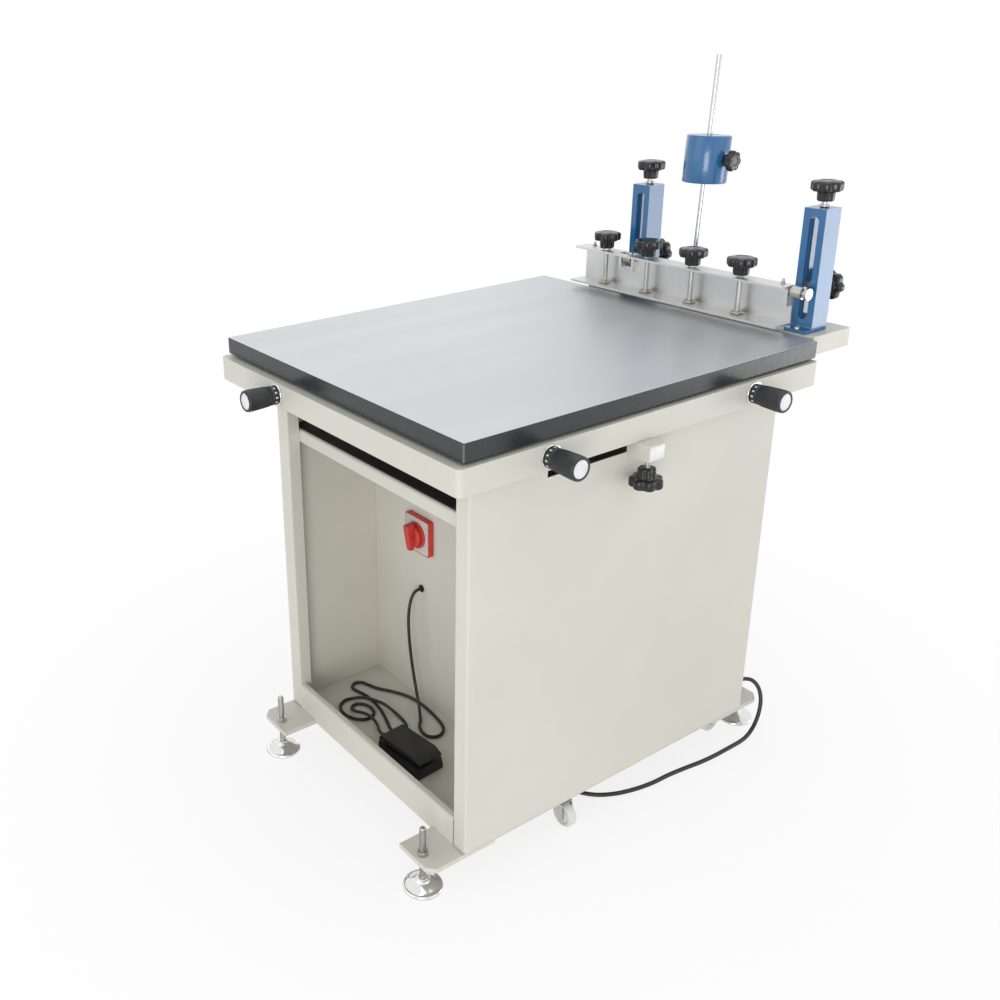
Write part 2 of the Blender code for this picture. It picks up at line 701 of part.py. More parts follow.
def make_post(side, x):
    """A height post with its lead screw and knob: a deep channel open to the rear, slotted in front,
    with a cap that the screw hangs in and a toe for the post's own fixing."""
    half = POST_WIDTH / 2
    front, back = POST_FRONT, POST_BACK
    post = block(f"hinge_post_{side}", (x - half, x + half), (front, back), (POST_BOTTOM, POST_TOP), BLUE)
    toe_top = POST_BOTTOM + TOE_THICK
    fillet = 0.004
    toe = [(front - TOE_LENGTH, POST_BOTTOM), (front + POST_WALL / 2, POST_BOTTOM)]
    toe += [(front + POST_WALL / 2, toe_top + fillet), (front, toe_top + fillet)]
    toe += [(front - fillet * 0.3, toe_top + fillet * 0.3), (front - fillet, toe_top)]
    toe.append((front - TOE_LENGTH, toe_top))
    combine(post, prism(f"post_toe_{side}", toe, "x", x - half, x + half))
    hollow_x = (x - half + POST_SIDE, x + half - POST_SIDE)
    low, high = POST_BOTTOM + SLOT_BOTTOM, POST_TOP - POST_CAP
    cut(post, block(f"post_hollow_{side}", hollow_x, (front + POST_WALL, back + POST_SIDE), (low, high)))
    slot = rounded(x - SLOT_WIDTH / 2, x + SLOT_WIDTH / 2, low, high, SLOT_WIDTH / 2 - 0.0001, 5)
    cut(post, prism(f"post_slot_{side}", slot, "y", front - POST_SIDE, front + POST_WALL * 1.2))
    hole = LEAD_SCREW / 2 + SCREW_CLEARANCE
    span = [(hole, high - POST_CAP), (hole, POST_TOP + POST_CAP)]
    cut(post, turned(f"post_screw_hole_{side}", span, "z", (x, LEAD_SCREW_Y)))
    span = [(LEAD_SCREW / 2, low + GAP), (LEAD_SCREW / 2, POST_TOP)]
    screw = turned(f"lead_screw_{side}", span, "z", (x, LEAD_SCREW_Y), ZINC, 16)
    origin_at(screw, (x, LEAD_SCREW_Y, POST_TOP))
    base = (x, LEAD_SCREW_Y, POST_TOP + GAP + COLLAR_HEIGHT)
    stem = [(COLLAR / 2, -COLLAR_HEIGHT), (COLLAR / 2, 0)]
    star_knob(f"height_knob_{side}", base, (0, 0, 1), stem, HEIGHT_KNOB)


def make_slider(side, x, pin_from, pin_to, head):
    """The hinge block that slides in a post: an eye with its pin in front, a neck through the slot and a
    block behind with the hole for the lead screw."""
    name = f"height_slider_{side}"
    half = SLIDER_HEIGHT / 2
    block_front = POST_FRONT + POST_WALL + GAP
    block_back = block_front + SLIDER_DEPTH
    inside = POST_WIDTH / 2 - POST_SIDE - SLIDER_SIDE_GAP
    eye = EYE / 2
    eye_profile = [(eye, x - EYE_WIDTH / 2), (eye, x + EYE_WIDTH / 2)]
    slider = turned(name, eye_profile, "x", (PIVOT_Y, PIVOT_Z), ZINC)
    neck_x = (x - SLOT_WIDTH / 2 + 0.0005, x + SLOT_WIDTH / 2 - 0.0005)
    neck_y = (PIVOT_Y + 0.004, block_front + 0.004)
    levels = (PIVOT_Z - half * 0.8, PIVOT_Z + half * 0.8)
    combine(slider, block(name + "_neck", neck_x, neck_y, levels))
    whole = (PIVOT_Z - half, PIVOT_Z + half)
    combine(slider, block(name + "_block", (x - inside, x + inside), (block_front, block_back), whole))
    hole = LEAD_SCREW / 2 + SCREW_CLEARANCE
    span = [(hole, PIVOT_Z - EYE), (hole, PIVOT_Z + EYE)]
    cut(slider, turned(name + "_thread", span, "z", (x, LEAD_SCREW_Y)))
    span = [(PIN / 2, pin_from), (PIN / 2, pin_to)]
    combine(slider, turned(name + "_pin", span, "x", (PIVOT_Y, PIVOT_Z)))
    if head:
        span = [(EYE / 2 - 0.0005, pin_to - 0.001), (EYE / 2 - 0.0005, pin_to + head)]
        combine(slider, turned(name + "_pin_head", span, "x", (PIVOT_Y, PIVOT_Z)))
    origin_at(slider, (x, PIVOT_Y, PIVOT_Z))
    base_y = POST_BACK + GAP + 0.002
    stud, washer = LEAD_SCREW / 2, LOCK_WASHER / 2
    stem = [(stud, block_back + GAP - base_y), (stud, -0.002), (washer, -0.002), (washer, 0)]
    star_knob(f"slider_lock_knob_{side}", (x, base_y, PIVOT_Z), (0, 1, 0), stem)


def make_posts():
    make_post("left", POST_X_LEFT)
    make_post("right", POST_X_RIGHT)
    half = NOTCH_WIDTH / 2
    make_slider("left", POST_X_LEFT, POST_X_LEFT - half - 0.003, POST_X_LEFT + half + 0.003, 0)
    pin_end = POST_X_RIGHT + EYE_WIDTH / 2 + 0.006
    make_slider("right", POST_X_RIGHT, CHANNEL_RIGHT - EAR - 0.002, pin_end, 0.004)


def ear(name, low):
    """One hinge ear: a plate with a round top about the pivot, down into the channel's web."""
    half = EAR_WIDTH / 2
    foot = CHANNEL_TOP - NOTCH_DROP - 0.006
    outline = [(PIVOT_Y - half, foot), (PIVOT_Y + half, foot)]
    for i in range(9):
        turn = math.pi * i / 8
        outline.append((PIVOT_Y + half * math.cos(turn), PIVOT_Z + half * math.sin(turn)))
    return prism(name, outline, "x", low, low + EAR)


def make_channel():
    """The clamp: an aluminium channel open to the front, hung on ears, with a bracket for the rod behind."""
    t = CHANNEL_SHEET
    low, high, rear = CHANNEL_BOTTOM, CHANNEL_TOP, CHANNEL_REAR
    outline = [
        (rear, low), (rear, high), (rear - CHANNEL_UPPER, high), (rear - CHANNEL_UPPER, high - t),
        (rear - t, high - t), (rear - t, low + t), (rear - CHANNEL_LOWER, low + t),
        (rear - CHANNEL_LOWER, low),
    ]
    channel = prism("clamp_channel", outline, "x", CHANNEL_LEFT, CHANNEL_RIGHT, ALUMINIUM)
    notch_x = (POST_X_LEFT - NOTCH_WIDTH / 2, POST_X_LEFT + NOTCH_WIDTH / 2)
    notch_y = (rear - NOTCH_DEPTH, rear + t)
    cut(channel, block("notch", notch_x, notch_y, (high - NOTCH_DROP, high + t)))
    shift = 0.0002
    for i, x in enumerate((notch_x[0] - shift, notch_x[1] - EAR + shift, CHANNEL_RIGHT - EAR + shift)):
        combine(channel, ear(f"ear_{i + 1}", x))
    bore = PIN / 2 + 0.0002
    for i, x in enumerate((notch_x[0], notch_x[1], CHANNEL_RIGHT)):
        span = [(bore, x - 2 * EAR), (bore, x + 2 * EAR)]
        cut(channel, turned(f"pin_bore_{i + 1}", span, "x", (PIVOT_Y, PIVOT_Z)))
    hole = CLAMP_STUD / 2 + SCREW_CLEARANCE
    for i in range(CLAMP_COUNT):
        span = [(hole, high - 2 * t), (hole, high + t)]
        cut(channel, turned(f"clamp_hole_{i + 1}", span, "z", (CLAMP_FIRST_X + i * CLAMP_PITCH, CLAMP_Y)))
    back = PIVOT_Y + ROD_BACK + ROD_ARM / 2 + 0.004
    arm = rounded(rear - t / 2, back, PIVOT_Z - 0.008 - ROD_ARM, PIVOT_Z - 0.008, 0.002, 2)
    wide = ROD_ARM_WIDTH / 2
    combine(channel, prism("rod_arm", arm, "x", ROD_X - wide, ROD_X + wide))
    origin_at(channel, (0, PIVOT_Y, PIVOT_Z))


def make_clamp_screws():
    """Star knobs on studs through the upper flange, each with a nut on the flange and a pad at its foot."""
    for i in range(CLAMP_COUNT):
        x = CLAMP_FIRST_X + i * CLAMP_PITCH
        base = (x, CLAMP_Y, CHANNEL_TOP + GAP + CLAMP_NUT_THICK)
        pad_low = CHANNEL_BOTTOM + CHANNEL_SHEET + GAP - base[2]
        stud = CLAMP_STUD / 2
        stem = [
            (CLAMP_PAD / 2, pad_low), (CLAMP_PAD / 2, pad_low + CLAMP_PAD_THICK),
            (stud, pad_low + CLAMP_PAD_THICK), (stud, -CLAMP_NUT_THICK),
            (CLAMP_NUT / 2, -CLAMP_NUT_THICK), (CLAMP_NUT / 2, 0),
        ]
        star_knob(f"clamp_screw_{i + 1}", base, (0, 0, 1), stem)


def lean(point, foot):
    """A point given upright over the rod's foot, turned back by the rod's lean about that foot."""
    turn = Matrix.Rotation(-ROD_LEAN, 4, "X")
    return Vector(foot) + turn @ Vector(point)


def leaning(name, profile, foot, finish, steps=24):
    rings = [[lean((x, y, level), foot) for x, y in circle(0, 0, radius, steps)] for radius, level in profile]
    return new_piece(name, loft(rings), finish)


def make_counterweight():
    """The rod leans back from the channel's arm; the drilled weight slides on it, held by a small knob."""
    r = ROD / 2
    seat = PIVOT_Z - 0.008 + GAP + (r + 0.003) * math.sin(ROD_LEAN)
    foot = (ROD_X, PIVOT_Y + ROD_BACK, seat)
    profile = [(r + 0.003, 0), (r + 0.003, 0.008), (r, 0.008), (r, ROD_LENGTH - 0.001)]
    profile.append((r - 0.001, ROD_LENGTH))
    origin_at(leaning("counter_rod", profile, foot, ZINC, 16), foot)
    bore, rim = WEIGHT_BORE / 2, WEIGHT / 2
    low, high, e = WEIGHT_UP, WEIGHT_UP + WEIGHT_HEIGHT, WEIGHT_EDGE
    loop = [(bore, low), (rim - e, low), (rim, low + e), (rim, high - e), (rim - e, high), (bore, high)]
    rings = [[lean((x, y, level), foot) for x, y in circle(0, 0, radius, 28)] for radius, level in loop]
    middle = lean((0, 0, (low + high) / 2), foot)
    origin_at(new_piece("counterweight", loft(rings, closed=True), BLUE), middle)
    base = lean((rim + GAP, 0, (low + high) / 2), foot)
    star_knob("counterweight_knob", base, (1, 0, 0), [], WEIGHT_KNOB)


def make_adjuster(name, along_axis, base):
    """A graduated thimble on its shaft through the frame's skirt, with a bezel at the root and a cap."""
    wide, narrow = ADJUSTER_BARREL / 2, ADJUSTER_CAP / 2
    shaft = ADJUSTER_SHAFT / 2
    reach = ADJUSTER_REACH
    bezel, sleeve, tip = ADJUSTER_BEZEL / 2, ADJUSTER_SLEEVE, reach - ADJUSTER_TIP
    profile = [
        (shaft, -ADJUSTER_SHAFT_IN), (shaft, GAP), (bezel, GAP), (bezel, 0.004), (wide, 0.006),
        (wide, sleeve - 0.004), (wide - 0.001, sleeve - 0.003), (wide - 0.001, sleeve - 0.001),
        (wide, sleeve), (narrow + 0.0012, tip), (narrow, tip + 0.001), (narrow, reach - 0.002),
        (narrow - 0.002, reach),
    ]
    x, y, z = base
    if along_axis == "x":
        profile = [(radius, x + level) for radius, level in profile]
        return origin_at(turned(name, profile, "x", (y, z), BLACK, 20), base)
    profile = [(radius, y - level) for radius, level in profile]
    return origin_at(turned(name, profile, "y", (x, z), BLACK, 20), base)


def make_adjusters():
    make_adjuster("adjuster_front", "y", (ADJUSTER_FRONT_X, FRAME_FRONT, ADJUSTER_Z))
    for end, y in zip(("front", "rear"), ADJUSTER_SIDE_Y):
        make_adjuster(f"adjuster_right_{end}", "x", (FRAME_X, y, ADJUSTER_Z))


def make_table_lock():
    """A bracket block at the cabinet's side, with a star knob hung under it that locks the bed."""
    top = BED_HEIGHT - LOCK_DROP
    low = top - LOCK_THICK
    root = CABINET_RIGHT + GAP
    out = CABINET_RIGHT + LOCK_REACH
    ease = 0.002
    outline = [(root, low), (out - ease, low), (out, low + ease), (out, top - ease), (out - ease, top)]
    outline.append((root, top))
    y = (LOCK_Y - LOCK_WIDTH / 2, LOCK_Y + LOCK_WIDTH / 2)
    bracket = prism("table_lock_bracket", outline, "y", *y, CREAM)
    hole = LOCK_STUD / 2 + SCREW_CLEARANCE
    stud_y = LOCK_Y - 0.005
    depth = low + 0.014
    cut(bracket, turned("lock_stud_hole", [(hole, low - 0.01), (hole, depth)], "z", (LOCK_STUD_X, stud_y)))
    base = (LOCK_STUD_X, stud_y, low - LOCK_STUD_LENGTH)
    stem = [(LOCK_STUD / 2, base[2] - depth + GAP), (LOCK_STUD / 2, 0)]
    star_knob("table_lock_knob", base, (0, 0, -1), stem)


def make_switch():
    """The main switch on the back panel: a square plate with a round boss, and a turning red handle."""
    front = BACK_PANEL_FRONT - GAP
    half = SWITCH_PLATE / 2
    outline = rounded(SWITCH_X - half, SWITCH_X + half, SWITCH_Z - half, SWITCH_Z + half, 0.004)
    plate = prism("switch_plate", outline, "y", front - SWITCH_THICK, front, BLACK)
    boss = SWITCH_BOSS / 2
    face = front - SWITCH_THICK
    root = face - SWITCH_BOSS_OUT
    centre = (SWITCH_X, SWITCH_Z)
    combine(plate, turned("switch_boss", [(boss, root), (boss, face + 0.002)], "y", centre))
    root -= GAP
    disc = SWITCH_DISC / 2
    profile = [(disc, root), (disc, root - 0.005), (disc - 0.0015, root - 0.007)]
    handle = turned("switch_handle", profile, "y", centre, RED)
    wide, tall = SWITCH_GRIP / 2, SWITCH_HANDLE / 2
    grip = rounded(SWITCH_X - wide, SWITCH_X + wide, SWITCH_Z - tall, SWITCH_Z + tall, 0.005)
    combine(handle, prism("switch_grip", grip, "y", root - 0.018, root - 0.0025))
    origin_at(handle, (SWITCH_X, root, SWITCH_Z))
    bore, wall = CABLE / 2 + GAP, CABLE / 2 + GROMMET_WALL
    flange = wall + GROMMET_RIM
    back = BACK_PANEL_FRONT + SHEET + GAP
    loop = [
        (bore, front - GROMMET_RIM), (flange, front - GROMMET_RIM), (flange, front), (wall, front),
        (wall, back), (flange, back), (flange, back + GROMMET_RIM), (bore, back + GROMMET_RIM),
    ]
    rings = []
    for radius, level in loop:
        rings.append([along("y", p, level) for p in circle(CABLE_X, CABLE_Z, radius, 16)])
    new_piece("cable_grommet", loft(rings, closed=True), BLACK)


def pedal_point(a, b, z):
    """A point of the pedal, given along its length, across it and up from the floor sheet."""
    cos, sin = math.cos(PEDAL_TURN), math.sin(PEDAL_TURN)
    return (PEDAL_X + a * cos - b * sin, PEDAL_Y + a * sin + b * cos, BASE_TOP + GAP + z)


def make_pedal():
    """The foot switch: a low tapered base with the cable's boot, and a treadle hinged between two cheeks."""
    long, wide = PEDAL_LENGTH / 2, PEDAL_WIDTH / 2
    taper = 0.002
    rings = []
    for inset, z in ((taper / 2, 0), (0, 0.002), (taper, PEDAL_BASE_HEIGHT)):
        outline = rounded(-long + inset, long - inset, -wide + inset, wide - inset, 0.006, 3)
        rings.append([pedal_point(a, b, z) for a, b in outline])
    base = new_piece("pedal_base", loft(rings), BLACK)
    root, crest = PEDAL_BASE_HEIGHT - 0.002, PEDAL_HEIGHT - 0.008
    cheek = [(-long + 0.004, root), (-long + 0.024, root), (-long + 0.020, crest), (-long + 0.008, crest)]
    for side in (-1, 1):
        inner, outer = side * (wide - taper - PEDAL_CHEEK), side * (wide - taper)
        shape = loft([[pedal_point(a, b, z) for a, z in cheek] for b in (inner, outer)])
        combine(base, new_piece(f"pedal_cheek_{side + 1}", shape))
    rings = []
    for level, radius in ((0.003, BOOT / 2), (-BOOT_LENGTH, BOOT_TAIL / 2)):
        x, y, z = pedal_point(-long + level, 0, BOOT_HEIGHT)
        rings.append([(x, y + a, z + b) for a, b in circle(0, 0, radius, 14)])
    combine(base, new_piece("pedal_boot", loft(rings)))
    low = PEDAL_BASE_HEIGHT + PEDAL_OPEN
    outline = [
        (-long + 0.003, low - 0.003), (-long + 0.016, low - 0.003), (long - 0.006, low + 0.004),
        (long - 0.001, low + 0.001), (long, low + 0.005), (long - PEDAL_NOSE, PEDAL_HEIGHT),
        (-long + 0.006, PEDAL_HEIGHT - 0.003), (-long + 0.001, PEDAL_HEIGHT - 0.010),
    ]
    half = wide - taper - PEDAL_CHEEK - 2 * GAP
    rings = [[pedal_point(a, b, z) for a, z in outline] for b in (-half, half)]
    treadle = new_piece("pedal_treadle", loft(rings), BLACK)
    origin_at(treadle, pedal_point(-long + PEDAL_HINGE_IN, 0, low + 0.002))


def make_cord_gland():
    """The strain relief in the rear panel for the mains cord, a stepped bush with a bore."""
    bore, wall, rim = CORD / 2 + GAP, GLAND / 2, GLAND / 2 + 0.002
    back = CABINET_REAR + GAP
    front = CABINET_REAR - SHEET - GAP
    loop = [
        (bore, front - 0.003), (rim, front - 0.003), (rim, front), (wall, front), (wall, back), (rim, back),
        (rim, back + 0.005), (bore + 0.0013, back + GLAND_TAIL), (bore, back + GLAND_TAIL),
    ]
    rings = [[along("y", p, level) for p in circle(CORD_X, CORD_Z, radius, 20)] for radius, level in loop]
    new_piece("cord_gland", loft(rings, closed=True), BLACK)


def smooth(route, spacing, rest):
    """Points at an even spacing along a smooth curve through the route's points, none of them below rest."""
    points = [Vector(point) for point in route]
    points = [2 * points[0] - points[1]] + points + [2 * points[-1] - points[-2]]
    fine = []
    for a, b, c, d in zip(points, points[1:], points[2:], points[3:]):
        for i in range(24):
            t = i / 24
            curve = 2 * b + (c - a) * t + (2 * a - 5 * b + 4 * c - d) * t * t
            fine.append((curve + (3 * b - a - 3 * c + d) * t * t * t) / 2)
    fine.append(points[-2])
    travel = [0.0]
    for before, after in zip(fine, fine[1:]):
        travel.append(travel[-1] + (after - before).length)
    count = round(travel[-1] / spacing)
    even = []
    at = 0
    for i in range(count + 1):
        goal = travel[-1] * i / count
        while at < len(travel) - 2 and travel[at + 1] < goal:
            at += 1
        share = (goal - travel[at]) / max(travel[at + 1] - travel[at], 1e-9)
        point = fine[at].lerp(fine[at + 1], share)
        point.z = max(point.z, rest)
        even.append(point)
    return even


def tube(name, route, thick, spacing, rounds, rest):
    """A cable as a curve with a round bevel and closed ends, whose middle goes no lower than rest."""
    line = bpy.data.curves.new(name, "CURVE")
    line.dimensions = "3D"
    line.bevel_depth = thick / 2
    line.bevel_resolution = rounds
    line.use_fill_caps = True
    points = smooth(route, spacing, rest)
    spline = line.splines.new("POLY")
    spline.points.add(len(points) - 1)
    for slot, point in zip(spline.points, points):
        slot.co = (*point, 1)
    piece = bpy.data.objects.new(name, line)
    bpy.context.collection.objects.link(piece)
    piece.parent = machine
    give_finish(piece, CABLE_BLACK)


def make_pedal_cable():
    """The foot switch's cable: out of the back panel, down to the floor sheet and in loops to the boot."""
    low = BASE_TOP + CABLE / 2 + GAP
    over = low + CABLE + 0.0012
    boot_end = -PEDAL_LENGTH / 2 - BOOT_LENGTH - 2 * GAP
    route = [
        (CABLE_X, BACK_PANEL_FRONT + SHEET + 0.003, CABLE_Z),
        (CABLE_X, BACK_PANEL_FRONT - 0.009, CABLE_Z - 0.0002),
        (-0.0525, 0.1870, 0.2770),
        (-0.0530, 0.1805, 0.2620),
        (-0.0530, 0.1765, 0.2350),
        (-0.0500, 0.1750, 0.2000),
        (-0.0450, 0.1755, 0.1600),
        (-0.0370, 0.1760, 0.1200),
        (-0.0270, 0.1750, 0.0890),
        (-0.0150, 0.1700, 0.0710),
        (0.0000, 0.1605, low),
        (0.0130, 0.1490, low),
        (0.0280, 0.1425, low),
        (0.0440, 0.1440, low),
        (0.0530, 0.1560, low),
        (0.0490, 0.1710, low),
        (0.0350, 0.1810, low),
        (0.0130, 0.1860, low),
        (-0.0100, 0.1890, low),
        (-0.0350, 0.1900, low),
        (-0.0660, 0.1860, low),
        (-0.0950, 0.1730, low),
        (-0.1200, 0.1570, low),
        (-0.1400, 0.1490, low),
        (-0.1530, 0.1440, low),
        (-0.1590, 0.1330, low),
        (-0.1530, 0.1225, low),
        (-0.1400, 0.1210, low),
        (-0.1180, 0.1265, low),
        (-0.0900, 0.1270, low),
        (-0.0600, 0.1215, low),
        (-0.0300, 0.1120, low),
        (-0.0080, 0.1045, low),
        (0.0060, 0.1090, low),
        (0.0085, 0.1220, low),
        (-0.0020, 0.1320, low),
        (-0.0200, 0.1365, low),
        (-0.0430, 0.1365, low + 0.0020),
        (-0.0660, 0.1320, over),
        (-0.0850, 0.1250, over + 0.0008),
        (-0.1030, 0.1170, over - 0.0008),
        (-0.1190, 0.1060, low + 0.0015),
        (-0.1250, 0.0890, low),
        (-0.1160, 0.0730, low),
        (-0.0970, 0.0655, low),
        (-0.0770, 0.0690, low),
        (-0.0615, 0.0800, low),
        (-0.0565, 0.0950, low),
        (-0.0640, 0.1080, low),
        (-0.0790, 0.1125, low),
        (-0.0950, 0.1090, low),
        (-0.1045, 0.0970, low),
        (-0.0990, 0.0850, low + 0.0010),
        (-0.0845, 0.0815, low + 0.0040),
        (-0.0690, 0.0875, over),
        (-0.0560, 0.0915, over + 0.0004),
        (-0.0420, 0.0925, over - 0.0010),
        (-0.0270, 0.0900, low + 0.0030),
        (-0.0140, 0.0830, low + 0.0065),
        pedal_point(boot_end - 0.007, 0, BOOT_HEIGHT),
        pedal_point(boot_end, 0, BOOT_HEIGHT),
    ]
    tube("pedal_cable", route, CABLE, 2.6 * CABLE, 2, low)


def make_power_cord():
    """The mains cord: from the gland round the rear foot's plate, along the floor and in under the machine,
    where the length that isn't seen lies in a coil that ends in a plug."""
    low = CORD / 2 + GAP
    start = CABINET_REAR + GAP + GLAND_TAIL + GAP
    beside = COIL_X + COIL / 2 + CORD / 2 + GAP
    route = [
        (CORD_X, start, CORD_Z),
        (CORD_X + 0.0015, start + 0.010, CORD_Z - 0.0005),
        (0.2790, 0.6760, 0.0895),
        (0.2905, 0.6800, 0.0790),
        (0.2990, 0.6780, 0.0610),
        (0.3040, 0.6700, 0.0400),
        (0.3065, 0.6570, 0.0200),
        (0.3080, 0.6390, 0.0075),
        (0.3090, 0.6180, low),
        (0.3090, 0.5860, low),
        (0.3085, 0.5530, low),
        (0.3060, 0.5200, low),
        (0.3010, 0.4850, low),
        (0.2970, 0.4500, low),
        (0.2950, 0.4140, low),
        (0.2890, 0.3790, low),
        (0.2780, 0.3450, low),
        (0.2610, 0.3170, low),
        (0.2370, 0.2990, low),
        (0.2080, 0.2930, low),
        (0.1790, 0.2980, low),
        (0.1520, 0.3120, low),
        (0.1280, 0.3330, low),
        (0.1150, 0.3600, low),
        (beside, 0.3950, low),
        (beside, COIL_Y, low),
    ]
    tube("power_cord", route, CORD, 2.5 * CORD, 3, low)
    outer, inner, ease = COIL / 2, COIL / 2 - COIL_WALL, 0.003
    loop = [
        (inner, ease + GAP), (inner + ease, GAP), (outer - ease, GAP), (outer, ease + GAP),
        (outer, COIL_WALL - ease), (outer - ease, COIL_WALL), (inner + ease, COIL_WALL),
        (inner, COIL_WALL - ease),
    ]
    rings = [[(x, y, level) for x, y in circle(COIL_X, COIL_Y, radius, 28)] for radius, level in loop]
    new_piece("cord_coil", loft(rings, closed=True), CABLE_BLACK)
    neck, half = PLUG_NECK / 2, PLUG_WIDTH / 2
    x = COIL_X - outer + neck
    near = COIL_Y - 0.0290
    face = near - PLUG_LENGTH
    middle = GAP + PLUG_HEIGHT / 2
    rings = []
    for level, wide, tall in (
        (near, neck, 0.010), (near - 0.014, 0.006, 0.014), (near - 0.022, half - 0.003, PLUG_HEIGHT - 0.002),
        (face + 0.002, half, PLUG_HEIGHT), (face, half - 0.001, PLUG_HEIGHT - 0.002),
    ):
        radius = min(wide, tall / 2) * 0.6
        outline = rounded(x - wide, x + wide, middle - tall / 2, middle + tall / 2, radius, 3)
        rings.append([(a, level, b) for a, b in outline])
    plug = new_piece("cord_plug", loft(rings), BLACK)
    for side in (-1, 1):
        span = [(0.0024, face + 0.002), (0.0024, face - 0.017), (0.0016, face - 0.019)]
        centre = (x + side * PLUG_PINS / 2, middle)
        combine(plug, turned(f"plug_pin_{side + 1}", span, "y", centre, steps=12))


make_bed()
make_frame()
make_cabinet()
make_feet_rails()
make_casters()
make_rear_beam()
make_posts()
make_channel()
make_clamp_screws()
make_counterweight()
make_adjusters()
make_table_lock()
make_switch()
make_pedal()
make_cord_gland()
make_pedal_cable()
make_power_cord()
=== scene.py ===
"""Looks of the screen printing vacuum table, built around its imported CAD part.

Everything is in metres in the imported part's frame: x to the operator's right, y away from the operator, z up
from the floor. Sheet metal keeps its CAD shape with eased edges. Knobs, adjusters, feet, wheels, the weight,
the switch handle and the cables get finer shapes that stand for their CAD nodes.
"""

import json
import math

import bmesh
import bpy
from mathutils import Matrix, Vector


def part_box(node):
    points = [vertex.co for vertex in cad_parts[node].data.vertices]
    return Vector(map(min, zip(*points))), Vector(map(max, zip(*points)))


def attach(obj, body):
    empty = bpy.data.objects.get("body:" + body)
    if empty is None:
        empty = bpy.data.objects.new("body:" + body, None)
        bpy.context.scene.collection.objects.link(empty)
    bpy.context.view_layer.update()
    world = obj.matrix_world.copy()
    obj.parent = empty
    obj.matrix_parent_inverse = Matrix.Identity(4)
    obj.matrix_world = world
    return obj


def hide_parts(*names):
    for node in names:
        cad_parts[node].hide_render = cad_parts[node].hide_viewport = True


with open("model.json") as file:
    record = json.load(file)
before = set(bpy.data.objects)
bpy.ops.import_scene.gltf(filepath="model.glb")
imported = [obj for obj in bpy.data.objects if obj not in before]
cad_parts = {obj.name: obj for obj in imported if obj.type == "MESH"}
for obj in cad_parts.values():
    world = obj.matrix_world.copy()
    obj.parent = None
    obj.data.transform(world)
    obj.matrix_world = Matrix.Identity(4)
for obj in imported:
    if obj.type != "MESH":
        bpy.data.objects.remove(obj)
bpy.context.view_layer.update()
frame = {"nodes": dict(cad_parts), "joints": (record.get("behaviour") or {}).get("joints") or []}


# Camera
# Stands where the photographer stood, to the operator's front right and above the bed. Place, turn, lens
# and shift were fitted to the bed's corners, the cabinet's edges and the feet in the photo.
view = bpy.data.cameras.new("camera")
view.lens = 39.25
view.sensor_width = 36
view.shift_x = 0.139
view.shift_y = -0.051
camera = bpy.data.objects.new("camera", view)
bpy.context.scene.collection.objects.link(camera)
camera.location = (1.2195, -1.1457, 1.185)
camera.rotation_euler = (1.1933, 0.0252, 0.9717)
bpy.context.scene.camera = camera
bpy.context.scene.view_settings.view_transform = "Standard"


# Studio
# A plain room and a paper floor that look white to the camera and in metal. Six soft lights stand round the
# table: a key low at the front right, two large ones to the right and front, one above, one behind on the
# left, and a small card at the back right. The floor's white thins out near the feet, to keep the shadow.
def seen_rays(tree):
    """One for what the camera sees straight on, in a reflection or through glass, and nought for light."""
    ray = tree.nodes.new("ShaderNodeLightPath")
    both = tree.nodes.new("ShaderNodeMath")
    both.operation = "ADD"
    tree.links.new(ray.outputs["Is Camera Ray"], both.inputs[0])
    tree.links.new(ray.outputs["Is Glossy Ray"], both.inputs[1])
    every = tree.nodes.new("ShaderNodeMath")
    every.operation = "ADD"
    every.use_clamp = True
    tree.links.new(both.outputs["Value"], every.inputs[0])
    tree.links.new(ray.outputs["Is Transmission Ray"], every.inputs[1])
    return every.outputs["Value"]


sky = bpy.data.worlds.new("room")
bpy.context.scene.world = sky
sky.use_nodes = True
room = sky.node_tree
shade = room.nodes["Background"]
shade.inputs["Color"].default_value = (0.80, 0.83, 0.86, 1)
shade.inputs["Strength"].default_value = 0.68
white = room.nodes.new("ShaderNodeBackground")
white.inputs["Color"].default_value = (1, 1, 1, 1)
white.inputs["Strength"].default_value = 1.0
pick = room.nodes.new("ShaderNodeMixShader")
room.links.new(seen_rays(room), pick.inputs["Fac"])
room.links.new(shade.outputs["Background"], pick.inputs[1])
room.links.new(white.outputs["Background"], pick.inputs[2])
room.links.new(pick.outputs["Shader"], room.nodes["World Output"].inputs["Surface"])


def soft_light(name, place, aim, size, power, tint=(1, 1, 1)):
    """A square soft box at a place, turned to face the aim."""
    lamp = bpy.data.lights.new(name, "AREA")
    lamp.size = size
    lamp.energy = power
    lamp.color = tint
    holder = bpy.data.objects.new(name, lamp)
    bpy.context.scene.collection.objects.link(holder)
    holder.location = place
    turn = (Vector(aim) - Vector(place)).to_track_quat("-Z", "Y")
    holder.rotation_euler = turn.to_euler()


